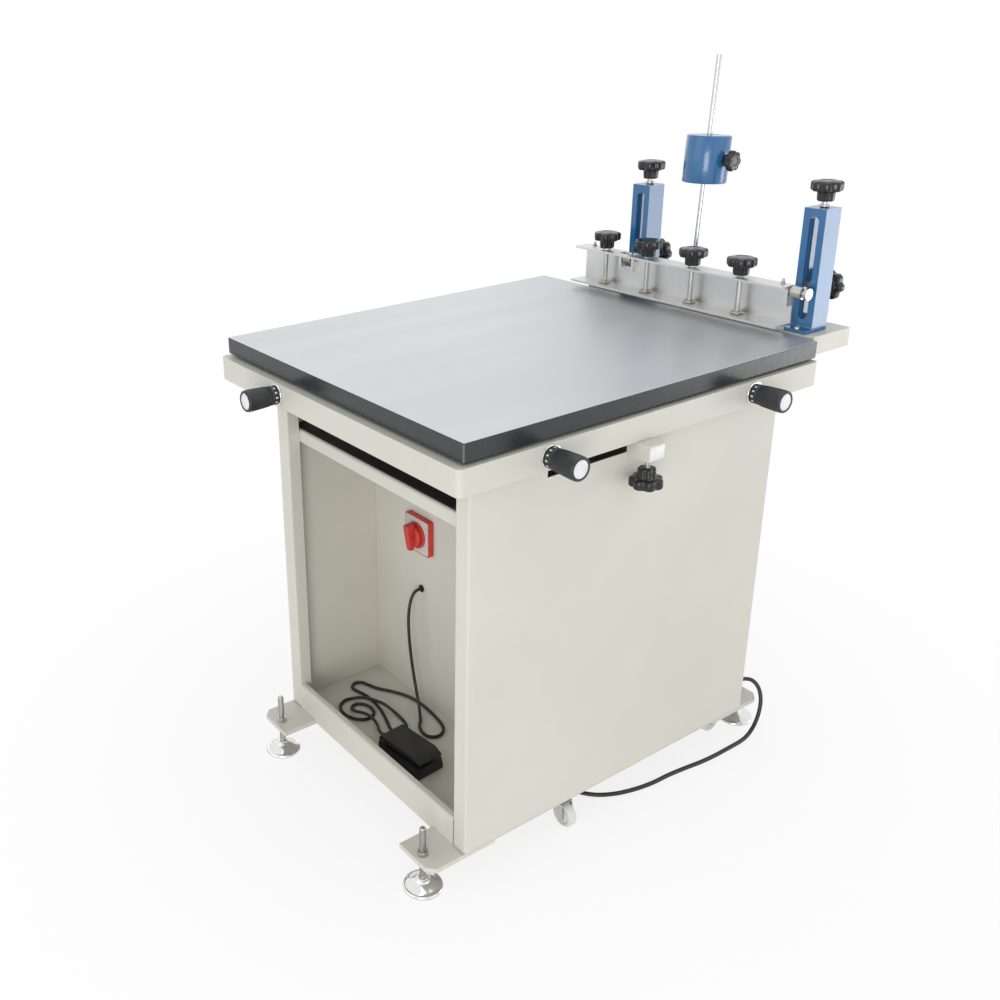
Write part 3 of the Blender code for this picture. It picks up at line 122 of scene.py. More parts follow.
cool = (0.94, 0.97, 1)
warm = (1, 0.98, 0.93)
pale_warm = (1, 0.985, 0.95)
soft_light("right_light", place=(2.8, 0.8, 1.7), aim=(0, 0, 0.5), size=2.4, power=4, tint=cool)
soft_light("front_light", place=(-0.6, -3.0, 1.9), aim=(0, 0, 0.6), size=2.4, power=10, tint=pale_warm)
soft_light("key_light", place=(2.1, -2.3, 0.7), aim=(-0.1, -0.2, 0.35), size=1.3, power=29, tint=warm)
soft_light("top_light", place=(0.2, 0.4, 3.4), aim=(0, 0, 0.6), size=2.6, power=19)
soft_light("rear_right_card", place=(1.4, 2.1, 0.45), aim=(0.1, 0.38, 0.8), size=0.9, power=9)
soft_light("left_card", place=(-3.7, 1.5, 2.4), aim=(0, 0, 0.7), size=3.4, power=15)

floor_mesh = bpy.data.meshes.new("floor")
half = 9
corners = [(-half, -half, 0), (half, -half, 0), (half, half, 0), (-half, half, 0)]
floor_mesh.from_pydata(corners, [], [(0, 1, 2, 3)])
floor = bpy.data.objects.new("floor", floor_mesh)
bpy.context.scene.collection.objects.link(floor)
paper = bpy.data.materials.new("floor_paper")
paper.use_nodes = True
tree = paper.node_tree
tree.nodes["Principled BSDF"].inputs["Roughness"].default_value = 0.9
tree.nodes["Principled BSDF"].inputs["Specular IOR Level"].default_value = 0.1
cloud = tree.nodes.new("ShaderNodeTexNoise")
cloud.inputs["Scale"].default_value = 0.6
tone = tree.nodes.new("ShaderNodeValToRGB")
tone.color_ramp.elements[0].color = (0.93, 0.93, 0.93, 1)
tone.color_ramp.elements[1].color = (0.97, 0.97, 0.97, 1)
tree.links.new(cloud.outputs["Fac"], tone.inputs["Fac"])
tree.links.new(tone.outputs["Color"], tree.nodes["Principled BSDF"].inputs["Base Color"])
glow = tree.nodes.new("ShaderNodeEmission")
glow.inputs["Color"].default_value = (1, 1, 1, 1)
glow.inputs["Strength"].default_value = 1.0
spot = tree.nodes.new("ShaderNodeTexCoord")
shadow_reach = 0.4
white_from = 1.1
near_glow = 0.8
away = tree.nodes.new("ShaderNodeVectorMath")
away.operation = "LENGTH"
tree.links.new(spot.outputs["Object"], away.inputs[0])
fade = tree.nodes.new("ShaderNodeMapRange")
fade.inputs["From Min"].default_value = shadow_reach
fade.inputs["From Max"].default_value = white_from
fade.inputs["To Min"].default_value = near_glow
fade.inputs["To Max"].default_value = 1.0
tree.links.new(away.outputs["Value"], fade.inputs["Value"])
share = tree.nodes.new("ShaderNodeMath")
share.operation = "MULTIPLY"
tree.links.new(fade.outputs["Result"], share.inputs[0])
tree.links.new(seen_rays(tree), share.inputs[1])
blend = tree.nodes.new("ShaderNodeMixShader")
tree.links.new(share.outputs["Value"], blend.inputs["Fac"])
tree.links.new(tree.nodes["Principled BSDF"].outputs["BSDF"], blend.inputs[1])
tree.links.new(glow.outputs["Emission"], blend.inputs[2])
tree.links.new(blend.outputs["Shader"], tree.nodes["Material Output"].inputs["Surface"])
floor_mesh.materials.append(paper)


# Foot rails
# A flat steel bar along each side of the base, widened at both ends for the levelling feet. Cut from plate,
# powder coated cream and bolted up under the base plate.
def surface(
    name, dark, light, rough, metal=0.0, patch=4.0, grain=900.0, bump=0.12, stretch=(1, 1, 1), coat=0.0
):
    """A finish whose colour drifts between two near tones, with uneven roughness and a fine grain."""
    made = bpy.data.materials.new(name)
    made.use_nodes = True
    tree = made.node_tree
    shader = tree.nodes["Principled BSDF"]
    shader.inputs["Metallic"].default_value = metal
    shader.inputs["Coat Weight"].default_value = coat
    shader.inputs["Coat Roughness"].default_value = 0.08
    place = tree.nodes.new("ShaderNodeTexCoord")
    drawn = tree.nodes.new("ShaderNodeMapping")
    drawn.inputs["Scale"].default_value = stretch
    tree.links.new(place.outputs["Object"], drawn.inputs["Vector"])
    even = place.outputs["Object"]
    pulled = drawn.outputs["Vector"]
    clouds = []
    for size, detail, source in ((patch, 6, even), (patch * 9, 3, pulled), (grain, 2, pulled)):
        cloud = tree.nodes.new("ShaderNodeTexNoise")
        cloud.inputs["Scale"].default_value = size
        cloud.inputs["Detail"].default_value = detail
        tree.links.new(source, cloud.inputs["Vector"])
        clouds.append(cloud)
    tones = tree.nodes.new("ShaderNodeValToRGB")
    tones.color_ramp.elements[0].position = 0.32
    tones.color_ramp.elements[0].color = (*dark, 1)
    tones.color_ramp.elements[1].position = 0.68
    tones.color_ramp.elements[1].color = (*light, 1)
    tree.links.new(clouds[0].outputs["Fac"], tones.inputs["Fac"])
    tree.links.new(tones.outputs["Color"], shader.inputs["Base Color"])
    sheen = tree.nodes.new("ShaderNodeMapRange")
    sheen.inputs["To Min"].default_value = rough * 0.8
    sheen.inputs["To Max"].default_value = rough * 1.25
    tree.links.new(clouds[1].outputs["Fac"], sheen.inputs["Value"])
    tree.links.new(sheen.outputs["Result"], shader.inputs["Roughness"])
    relief = tree.nodes.new("ShaderNodeBump")
    relief.inputs["Strength"].default_value = bump
    relief.inputs["Distance"].default_value = 0.0004
    tree.links.new(clouds[2].outputs["Fac"], relief.inputs["Height"])
    tree.links.new(relief.outputs["Normal"], shader.inputs["Normal"])
    return made


def keep(node, finish, ease):
    """Keeps a CAD node's shape, eases its sharp edges and gives it a finish."""
    piece = frame["nodes"][node]
    piece.data.materials.clear()
    piece.data.materials.append(finish)
    weld = piece.modifiers.new("weld", "WELD")
    weld.merge_threshold = 0.00002
    flat = piece.modifiers.new("flat", "DECIMATE")
    flat.decimate_type = "DISSOLVE"
    flat.angle_limit = math.radians(1)
    edge = piece.modifiers.new("edge", "BEVEL")
    edge.width = ease
    edge.segments = 3
    edge.limit_method = "ANGLE"
    edge.angle_limit = math.radians(40)
    shading = piece.modifiers.new("shading", "WEIGHTED_NORMAL")
    shading.weight = 80


cream = surface(
    "cream_coat", (0.655, 0.640, 0.570), (0.700, 0.685, 0.615), 0.42, patch=5, grain=1400, bump=0.10
)
for side in ("left", "right"):
    keep(f"foot_rail_{side}", cream, 0.0012)


# Levelling feet
# Chromed pressed steel pads with a rolled rim and a domed middle, on M10 studs that pass through the foot
# rail between two hex nuts.
def piece_from(shape, name, finish, smooth=True, sharp=None):
    """A piece made of finished faces: smooth, smooth with sharp edges past an angle, or flat."""
    mesh = bpy.data.meshes.new(name)
    shape.to_mesh(mesh)
    shape.free()
    if smooth:
        mesh.shade_smooth()
    if sharp:
        mesh.set_sharp_from_angle(angle=math.radians(sharp))
    mesh.materials.append(finish)
    piece = bpy.data.objects.new(name, mesh)
    bpy.context.scene.collection.objects.link(piece)
    return piece


def loft(name, rings, finish, closed=False, sharp=38):
    """A piece skinned over rings of points, its ends filled, or joined round when closed."""
    shape = bmesh.new()
    rows = [[shape.verts.new(point) for point in outline] for outline in rings]
    pairs = list(zip(rows, rows[1:]))
    if closed:
        pairs.append((rows[-1], rows[0]))
    for low, high in pairs:
        for i in range(len(low)):
            j = (i + 1) % len(low)
            shape.faces.new((low[i], low[j], high[j], high[i]))
    if not closed:
        shape.faces.new(rows[0])
        shape.faces.new(rows[-1])
    bmesh.ops.remove_doubles(shape, verts=shape.verts, dist=1e-7)
    bmesh.ops.recalc_face_normals(shape, faces=shape.faces)
    return piece_from(shape, name, finish, sharp=sharp)


def axes(base, upward):
    """A place and three directions square to each other, the last one upward."""
    upward = Vector(upward).normalized()
    forth = upward.orthogonal().normalized()
    return Vector(base), forth, upward.cross(forth), upward


def upright(node, height):
    """Axes that point up from the middle of a CAD node, at a height."""
    low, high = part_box(node)
    return axes(((low.x + high.x) / 2, (low.y + high.y) / 2, height), (0, 0, 1))


def point_round(where, angle, radius, level):
    """A point at an angle and a radius round the upward line, at a level above the base."""
    base, forth, across, upward = where
    return base + upward * level + (forth * math.cos(angle) + across * math.sin(angle)) * radius


def ring(where, radius, level, steps=48):
    """A circle of points square to the upward direction."""
    return [point_round(where, 2 * math.pi * i / steps, radius, level) for i in range(steps)]


def lathe(name, where, profile, finish, steps=48, sharp=38):
    """A turned piece from (radius, level) pairs."""
    return loft(name, [ring(where, radius, level, steps) for radius, level in profile], finish, sharp=sharp)


def thread(name, where, radius, low, high, finish, pitch=0.0015, steps=16):
    """A screwed rod: a helix of crests and roots round a core with bevelled ends."""
    depth = pitch * 0.5
    shape = bmesh.new()
    turns = int((high - low - pitch) / pitch)
    crest, root = [], []
    for i in range(turns * steps + 1):
        angle = 2 * math.pi * i / steps
        level = low + pitch * i / steps + pitch / 4
        crest.append(shape.verts.new(point_round(where, angle, radius, level)))
        root.append(shape.verts.new(point_round(where, angle, radius - depth, level + pitch / 2)))
    for i in range(turns * steps):
        shape.faces.new((crest[i], crest[i + 1], root[i + 1], root[i]))
        if i + steps + 1 < len(crest):
            shape.faces.new((root[i], root[i + 1], crest[i + steps + 1], crest[i + steps]))
    core = radius - depth * 0.9
    bevel = 0.0006
    span = [(core - bevel, low), (core, low + bevel), (core, high - bevel), (core - bevel, high)]
    rows = [[shape.verts.new(point) for point in ring(where, size, level, steps)] for size, level in span]
    for one, two in zip(rows, rows[1:]):
        for i in range(steps):
            shape.faces.new((one[i], one[(i + 1) % steps], two[(i + 1) % steps], two[i]))
    shape.faces.new(rows[0][::-1])
    shape.faces.new(rows[-1])
    return piece_from(shape, name, finish)


def hex_nut(name, where, corner, low, high, finish, turn=0.3):
    """A chamfered nut or bolt head, measured across its corners."""
    side = math.pi / 3
    half = corner / 2
    flat = half * math.cos(side / 2)
    cut = (half - flat) * 0.55
    count = 36
    outline = []
    for i in range(count):
        angle = 2 * math.pi * i / count
        from_corner = abs((angle + side / 2) % side - side / 2)
        outline.append((angle + turn, flat / math.cos(side / 2 - from_corner)))
    rings = []
    for level, limit in ((low, flat), (low + cut, half), (high - cut, half), (high, flat)):
        rings.append([point_round(where, angle, min(reach, limit), level) for angle, reach in outline])
    return loft(name, rings, finish, sharp=25)


def dress(piece, body, slot, *nodes):
    """The piece rides on a body and may stand for CAD nodes, which it hides; the slot is not used."""
    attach(piece, body)
    if nodes:
        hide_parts(*nodes)


chrome = surface(
    "foot_chrome", (0.70, 0.70, 0.69), (0.80, 0.80, 0.79), 0.13, metal=1.0, patch=30, grain=2500, bump=0.03
)
zinc = surface(
    "zinc_plate", (0.44, 0.44, 0.42), (0.54, 0.54, 0.51), 0.33, metal=1.0, patch=45, grain=1800, bump=0.04
)
rail_low, rail_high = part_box("foot_rail_left")
foot_stud_radius = 0.0050
foot_stud_root = 0.0185
foot_nut_size = 0.0170
foot_nut_tall = 0.0070
nut_gap = 0.0003
pad = [
    (0.0270, 0.0000), (0.0290, 0.0003), (0.0300, 0.0018), (0.0300, 0.0036), (0.0292, 0.0052),
    (0.0278, 0.0060), (0.0266, 0.0060), (0.0252, 0.0064), (0.0222, 0.0080), (0.0180, 0.0104),
    (0.0146, 0.0124), (0.0128, 0.0130), (0.0118, 0.0134), (0.0104, 0.0150), (0.0088, 0.0164),
    (0.0076, 0.0170), (0.0072, 0.0186), (0.0058, 0.0192), (0.0045, 0.0192),
]
for side in ("left", "right"):
    for end in ("front", "rear"):
        node = f"levelling_foot_{side}_{end}"
        where = upright(node, 0)
        dress(lathe(f"foot_pad_{side}_{end}", where, pad, chrome, 64), "stand", "foot_chrome", node)
        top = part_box(node)[1].z
        stud = thread(f"foot_stud_{side}_{end}", where, foot_stud_radius, foot_stud_root, top, zinc)
        dress(stud, "stand", "foot_chrome")
        nut = f"foot_nut_{side}_{end}"
        seat = rail_low.z - nut_gap
        under = hex_nut(nut + "_low", where, foot_nut_size, seat - foot_nut_tall, seat, zinc)
        dress(under, "stand", "foot_chrome")
        seat = rail_high.z + nut_gap
        over = hex_nut(nut + "_high", where, foot_nut_size, seat, seat + foot_nut_tall, zinc, turn=0.9)
        dress(over, "stand", "foot_chrome")


# Casters
# Four small swivel casters under the foot rails. The forks are pressed and zinc plated. The wheels are
# moulded in white nylon, with a tyre, a thinner web and a boss on a plated axle bolt.
nylon = surface(
    "wheel_nylon", (0.70, 0.70, 0.68), (0.80, 0.80, 0.78), 0.38, patch=30, grain=1200, bump=0.06
)
web = 0.0080
for side in ("left", "right"):
    for end in ("front", "rear"):
        name = f"caster_{side}_{end}"
        keep(name + "_fork", zinc, 0.0004)
        low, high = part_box(name + "_wheel")
        size = high - low
        wide = min(size.x, size.y) / 2
        rim = size.z / 2
        where = axes((low + high) / 2, (1, 0, 0) if size.x < size.y else (0, 1, 0))
        half = [
            (0.0062, wide - 0.0012), (0.0072, web + 0.0002), (0.0080, web - 0.0022), (0.0110, web - 0.0026),
            (0.0132, web - 0.0022), (0.0142, web - 0.0004), (0.0152, web), (rim - 0.0035, web - 0.0002),
            (rim - 0.0014, web - 0.0012), (rim - 0.0003, web - 0.0030), (rim, web - 0.0055),
        ]
        profile = [(radius, -level) for radius, level in half] + half[::-1]
        wheel = lathe(name + "_tyre", where, profile, nylon, 56)
        dress(wheel, name + "_roller", "wheel_plastic", name + "_wheel")
        bolt = [(0.0028, -wide), (0.0046, -wide + 0.0004), (0.0050, -wide + 0.0014), (0.0050, wide - 0.0014)]
        bolt += [(0.0046, wide - 0.0004), (0.0028, wide)]
        dress(lathe(name + "_axle", where, bolt, zinc, 28), name + "_roller", "zinc_steel")


# Cabinet
# Folded 2 mm sheet, welded and powder coated cream: sides with front posts, rear panel, base plate, the
# compartment's back, front rail, and the strip over the opening, held by two screws. A black sheet on the
# strip's flange is painted shade: it darkens the gap under the frame and hides the compartment's inside.
for node in (
    "base_plate", "cabinet_left_side", "cabinet_right_side", "cabinet_rear_panel", "compartment_back_panel",
    "front_rail", "upper_strip",
):
    keep(node, cream, 0.0005)
strip_low, strip_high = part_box("upper_strip")
# Painted shade: a near-black sheet over the compartment that darkens the gap under the frame.
shade_black = surface(
    "painted_shade_black", (0.008, 0.008, 0.008), (0.014, 0.014, 0.013), 0.6, patch=9, grain=900, bump=0.15
)
side_gap = 0.001
front_gap = 0.003
past_back = 0.010
rings = []
for inset, rise in ((0.0004, 0.0003), (0, 0.0007), (0, 0.0015), (0.0004, 0.0019)):
    left = strip_low.x + side_gap + inset
    right = strip_high.x - side_gap - inset
    near = strip_low.y + front_gap + inset
    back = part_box("compartment_back_panel")[0].y + past_back - inset
    corners = ((left, near), (right, near), (right, back), (left, back))
    rings.append([Vector((x, y, strip_high.z + rise)) for x, y in corners])
dress(loft("compartment_shade_sheet", rings, shade_black), "stand", "black_plastic")
screw_inset = 0.016
screw_rise = 0.009
head = [
    (0.0030, -0.0004), (0.0030, 0.0004), (0.0026, 0.0011), (0.0015, 0.0015), (0.0013, 0.0008),
    (0.0005, 0.0008),
]
for i, x in enumerate((strip_low.x + screw_inset, strip_high.x - screw_inset)):
    where = axes((x, strip_low.y, strip_low.z + screw_rise), (0, -1, 0))
    dress(lathe(f"strip_screw_{i + 1}", where, head, zinc, 24), "stand", "zinc_steel")


# Frame
# The table's underframe is a shallow tray turned over, with round corners, folded from 2.5 mm sheet and
# coated like the cabinet. The beam behind it is welded on at its two brackets.
keep("top_frame", cream, 0.0005)
keep("rear_beam", cream, 0.0015)


# Bed
# The bed slides on a plated carriage. Its top is a satin anodised skin. The sides are a dark glossy trim whose
# near black is partly its own colour and partly painted reflection. A lighter bead at each corner is a painted
# highlight of the corner edge.
plating = surface("carriage_plate", (0.30, 0.30, 0.29), (0.38, 0.38, 0.36), 0.4, metal=0.8, patch=20)
keep("bed_carriage", plating, 0.0005)
skin = surface(
    "bed_skin", (0.515, 0.530, 0.545), (0.555, 0.570, 0.585), 0.40, metal=0.70, patch=1.6, grain=400,
    bump=0.008, stretch=(1, 0.06, 1),
)
# Partly painted reflection: the sides' near black is the trim's own dark colour and a painted reflection of
# dark surroundings.
dark_trim_and_reflection = surface(
    "bed_trim_and_reflection", (0.014, 0.018, 0.020), (0.026, 0.032, 0.034), 0.26, patch=12, grain=1500, bump=0.015
)
# Painted highlight: the corner beads are lighter to stand for light caught on the bed's corner edges.
corner_highlight = surface("bed_corner_highlight", (0.12, 0.13, 0.14), (0.20, 0.21, 0.22), 0.35, metal=0.6, patch=60)


def plate_ring(left, right, near, far, z, corner, steps=4):
    """A rectangle of points with round corners at a height."""
    centres = (
        (right - corner, far - corner), (left + corner, far - corner),
        (left + corner, near + corner), (right - corner, near + corner),
    )
    points = []
    for quarter, (x, y) in enumerate(centres):
        for i in range(steps + 1):
            angle = (quarter + i / steps) * math.pi / 2
            points.append(Vector((x + corner * math.cos(angle), y + corner * math.sin(angle), z)))
    return points


def bed_ring(inset, z, corner):
    """A ring of points a little inside the bed's outline."""
    return plate_ring(low.x + inset, high.x - inset, low.y + inset, high.y - inset, z, corner)


low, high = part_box("vacuum_bed")
skin_low = high.z - 0.0008
body = [
    bed_ring(0.0012, low.z, 0.0010), bed_ring(0.0002, low.z + 0.0010, 0.0016),
    bed_ring(0.0002, skin_low - 0.0002, 0.0016), bed_ring(0.0010, skin_low - 0.0001, 0.0014),
]
dress(loft("bed_body", body, dark_trim_and_reflection, sharp=10), "bed", "bed_metal", "vacuum_bed")
face = [
    bed_ring(0.0010, skin_low, 0.0016), bed_ring(0.0007, high.z - 0.0005, 0.0018),
    bed_ring(0.0008, high.z - 0.0002, 0.0018), bed_ring(0.0012, high.z, 0.0018),
]
dress(loft("bed_top", face, skin, sharp=10), "bed", "bed_metal")
bead_radius = 0.0014
bead_low = low.z + 0.0012
bead_tall = high.z - low.z - 0.0024
bead = [
    (bead_radius - 0.0005, 0), (bead_radius, 0.0004), (bead_radius, bead_tall - 0.0004),
    (bead_radius - 0.0005, bead_tall),
]
middle = (low + high) / 2
for i, (x, y) in enumerate(((low.x, low.y), (high.x, low.y), (high.x, high.y), (low.x, high.y))):
    inward_x = math.copysign(bead_radius, middle.x - x)
    inward_y = math.copysign(bead_radius, middle.y - y)
    where = axes((x + inward_x, y + inward_y, bead_low), (0, 0, 1))
    dress(lathe(f"bed_corner_highlight_{i + 1}", where, bead, corner_highlight, 20), "bed", "bed_metal")


# Adjusters
# Three screw adjusters push the bed: a moulded black sleeve with fine ribs that widens to a white end cap,
# on a plated bezel ring, with a graduated ring of white marks at its root.
sleeve = surface(
    "adjuster_sleeve", (0.018, 0.019, 0.022), (0.030, 0.031, 0.036), 0.42, patch=60, grain=2200, bump=0.10
)
cap = surface(
    "adjuster_cap", (0.78, 0.79, 0.80), (0.86, 0.87, 0.88), 0.3, patch=80, grain=1500, bump=0.03
)
mark = surface("adjuster_mark", (0.66, 0.66, 0.64), (0.76, 0.76, 0.74), 0.5, patch=90, grain=2000)
rib_depth = 0.0006
rib_count = 40
shorter = 0.005
mark_count = 12
mark_levels = (0.0058, 0.0094)
mark_radii = (0.0144, 0.01518)
mark_half = 0.0012


def waved(where, radius, level, depth, waves, per_wave, pinch=1.0):
    """A ring with grooves of a depth round it, narrower than its ribs where the pinch is over one."""
    points = []
    count = waves * per_wave
    for i in range(count):
        angle = 2 * math.pi * i / count
        groove = depth * ((1 - math.cos(waves * angle)) / 2) ** pinch
        points.append(point_round(where, angle, radius - groove, level))
    return points


frame_low, frame_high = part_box("top_frame")
for node, rides, side in (
    ("adjuster_front", "front_adjuster", "front"),
    ("adjuster_right_front", "right_front_adjuster", "right"),
    ("adjuster_right_rear", "right_rear_adjuster", "right"),
):
    low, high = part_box(node)
    middle = (low + high) / 2
    if side == "right":
        where = axes((frame_high.x, middle.y, middle.z), (1, 0, 0))
        reach = high.x - frame_high.x - shorter
    else:
        where = axes((middle.x, frame_low.y, middle.z), (0, -1, 0))
        reach = frame_low.y - low.y - shorter
    bezel = [(0.0090, 0.0003), (0.0172, 0.0003), (0.0177, 0.0009), (0.0177, 0.0022), (0.0172, 0.0029)]
    bezel += [(0.0160, 0.0031), (0.0156, 0.0024), (0.0090, 0.0024)]
    dress(lathe(node + "_bezel", where, bezel, chrome, 56), rides, "zinc_steel")
    root = [
        (0.0100, 0.0026), (0.0145, 0.0026), (0.0150, 0.0034), (0.0150, 0.0124), (0.0145, 0.0132),
        (0.0136, 0.0136), (0.0136, 0.0148), (0.0100, 0.0148),
    ]
    dress(lathe(node + "_dial", where, root, sleeve, 56), rides, "black_plastic")
    grip = [
        (0.0138, 0.0140, 0), (0.0149, 0.0147, rib_depth / 2), (0.0157, 0.0175, rib_depth),
        (0.0163, 0.0280, rib_depth), (0.0169, 0.0420, rib_depth), (0.0170, reach - 0.0065, rib_depth),
        (0.0169, reach - 0.0040, 0), (0.0163, reach - 0.0014, 0), (0.0150, reach - 0.0002, 0),
        (0.0136, reach, 0), (0.0130, reach - 0.0004, 0), (0.0128, reach - 0.0014, 0),
    ]
    rings = [waved(where, radius, level, depth, rib_count, 4) for radius, level, depth in grip]
    dress(loft(node + "_sleeve", rings, sleeve, sharp=50), rides, "black_plastic", node)
    disc = [
        (0.0126, reach - 0.0030), (0.0126, reach - 0.0012), (0.0118, reach - 0.0006),
        (0.0060, reach - 0.0003),
    ]
    dress(lathe(node + "_cap", where, disc, cap, 48), rides, "wheel_plastic")
    shape = bmesh.new()
    for i in range(mark_count):
        angle = 2 * math.pi * (i + 0.5) / mark_count
        sideways = point_round(where, angle + math.pi / 2, 1, 0) - where[0]
        corners = []
        for level in mark_levels:
            for radius in mark_radii:
                for half in (-mark_half, mark_half):
                    point = point_round(where, angle, radius, level) + sideways * half
                    corners.append(shape.verts.new(point))
        for face in ((0, 1, 3, 2), (4, 6, 7, 5), (0, 4, 5, 1), (2, 3, 7, 6), (0, 2, 6, 4), (1, 5, 7, 3)):
            shape.faces.new([corners[k] for k in face])
    bmesh.ops.recalc_face_normals(shape, faces=shape.faces)
    dress(piece_from(shape, node + "_marks", mark, smooth=False), rides, "wheel_plastic")


# Bed lock
# A coated bracket block on the cabinet's right side, with a near-white face on its outer end, a stud up
# into it and a moulded star knob hung below.
plastic = surface(
    "knob_plastic", (0.008, 0.008, 0.010), (0.016, 0.016, 0.019), 0.20, patch=40, grain=1600, bump=0.05
)
near_white_end = surface("lock_face", (0.84, 0.84, 0.83), (0.90, 0.90, 0.89), 0.35, patch=90, grain=1800, bump=0.05)
keep("table_lock_bracket", cream, 0.0006)


def block(name, a, b, finish, ease=0.0003):
    """A small box between two corners, with eased edges."""
    rings = []
    for inset, z in ((ease, a[2]), (0, a[2] + ease), (0, b[2] - ease), (ease, b[2])):
        rings.append(plate_ring(a[0] + inset, b[0] - inset, a[1] + inset, b[1] - inset, z, ease, 2))
    return loft(name, rings, finish, sharp=50)


low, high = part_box("table_lock_bracket")
face_proud = 0.0003
face_low = (high.x - face_proud, low.y + 0.0008, low.z + 0.0016)
face_high = (high.x + face_proud, high.y - 0.0008, high.z - 0.0016)
dress(block("lock_end_face", face_low, face_high, near_white_end, 0.00015), "stand", "cream_paint")


knob_size = 0.048
knob_tall = 0.029
knob_lobes = 7


def star_knob(name, where, finish, size=knob_size, tall=knob_tall):
    """A moulded star knob: a fluted hub on its base point, and a domed head with seven lobes."""
    share = size / knob_size
    rise = tall / knob_tall
    sections = [
        (0.0085, 0, 0.0000), (0.0118, 0.0010, 0.0000), (0.0126, 0.0016, 0.0006),
        (0.0129, 0.0019, 0.0030), (0.0133, 0.0020, 0.0100), (0.0138, 0.0021, 0.0124),
        (0.0152, 0.0024, 0.0136), (0.0200, 0.0030, 0.0139), (0.0222, 0.0034, 0.0143),
        (0.0233, 0.0036, 0.0152), (0.0238, 0.0037, 0.0166), (0.0240, 0.0037, 0.0200),
        (0.0240, 0.0037, 0.0240), (0.0238, 0.0036, 0.0254), (0.0231, 0.0034, 0.0266),
        (0.0218, 0.0030, 0.0274), (0.0190, 0.0022, 0.0281), (0.0160, 0.0014, 0.0285),
        (0.0120, 0.0006, 0.0288), (0.0098, 0, 0.0289), (0.0094, 0, 0.0285), (0.0078, 0, 0.0284),
        (0.0040, 0, 0.0286),
    ]
    rings = []
    for radius, flute, level in sections:
        rings.append(waved(where, radius * share, level * rise, flute * share, knob_lobes, 14, pinch=1.7))
    return loft(name, rings, finish, sharp=60)


stud_radius = 0.0040
into_bracket = 0.006
bracket_bottom = low.z
low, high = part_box("table_lock_knob")
where = axes(((low.x + high.x) / 2, (low.y + high.y) / 2, low.z + knob_tall), (0, 0, -1))
dress(star_knob("lock_knob", where, plastic), "table_lock", "black_plastic", "table_lock_knob")
where = upright("table_lock_knob", 0)
stud = thread("lock_stud", where, stud_radius, low.z + 0.0285, bracket_bottom + into_bracket, zinc)
dress(stud, "table_lock", "zinc_steel")


# Height posts
# Two deep steel posts, slotted in front and open behind, enamelled blue and screwed to the beam through their
# toes. A lead screw hangs in each cap under its star knob.
blue = surface(
    "post_enamel", (0.018, 0.130, 0.315), (0.028, 0.160, 0.370), 0.22, patch=14, grain=700, bump=0.05,
    coat=0.5,
)
toe_thick = 0.0055
toe_screw_in = 0.0068
toe_screw = [
    (0.0042, -0.0004), (0.0042, 0.0022), (0.0038, 0.0028), (0.0024, 0.0028), (0.0022, 0.0014),
    (0.0010, 0.0014),
]
lead_pitch = 0.0018
height_knob_tall = 0.0310
for side in ("left", "right"):
    post = f"hinge_post_{side}"
    keep(post, blue, 0.0007)
    low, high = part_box(post)
    where = axes(((low.x + high.x) / 2, low.y + toe_screw_in, low.z + toe_thick), (0, 0, 1))
    dress(lathe(f"toe_screw_{side}", where, toe_screw, zinc, 32), "stand", "zinc_steel")
    rides = f"{side}_height_screw"
    screw = f"lead_screw_{side}"
    low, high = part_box(screw)
    rod = thread(screw + "_thread", upright(screw, 0), stud_radius, low.z, high.z, zinc, lead_pitch)
    dress(rod, rides, "zinc_steel", screw)
    knob = f"height_knob_{side}"
    low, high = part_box(knob)
    where = upright(knob, high.z - height_knob_tall)
    star = star_knob(knob + "_star", where, plastic, knob_size, height_knob_tall)
    dress(star, rides, "black_plastic", knob)
    drop = low.z - where[0].z
    collar = [(0.0060, drop), (0.0068, drop + 0.0004), (0.0070, drop + 0.0010), (0.0070, drop + 0.0034)]
    collar += [(0.0066, drop + 0.0040), (0.0052, drop + 0.0042), (0.0052, 0.0002)]
    dress(lathe(knob + "_collar", where, collar, zinc, 36), rides, "zinc_steel")


# Height sliders
# Plated steel blocks that slide in the posts, each with an eye and hinge pin in front of the slot and a star
# knob on a washer behind that clamps it. The right-hand pin ends in a chromed bolt head.
hinge = next(Vector(joint["pos_m"]) for joint in frame["joints"] if joint["name"] == "clamp_swing")
washer_thick = 0.0018
for side in ("left", "right"):
    keep(f"height_slider_{side}", zinc, 0.0005)
    node = f"slider_lock_knob_{side}"
    low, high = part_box(node)
    where = axes(((low.x + high.x) / 2, high.y - knob_tall, (low.z + high.z) / 2), (0, 1, 0))
    dress(star_knob(node + "_star", where, plastic), "lift", "black_plastic", node)
    post_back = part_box(f"hinge_post_{side}")[1].y
    drop = post_back + nut_gap - where[0].y
    washer = [
        (0.0050, drop), (0.0166, drop), (0.0170, drop + 0.0003), (0.0170, drop + washer_thick - 0.0003),
        (0.0166, drop + washer_thick), (0.0050, drop + washer_thick),
    ]
    dress(lathe(f"lock_washer_{side}", where, washer, zinc, 48), "lift", "zinc_steel")
    slider_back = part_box(f"height_slider_{side}")[1].y - where[0].y
    dress(thread(f"lock_stud_{side}", where, stud_radius, slider_back, 0.001, zinc), "lift", "zinc_steel")
pin_end = 0.0042
bolt_size = 0.0150
where = axes((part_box("height_slider_right")[1].x - pin_end, hinge.y, hinge.z), (1, 0, 0))
dress(hex_nut("pin_bolt_right", where, bolt_size, 0.0002, 0.0034, chrome), "lift", "zinc_steel")


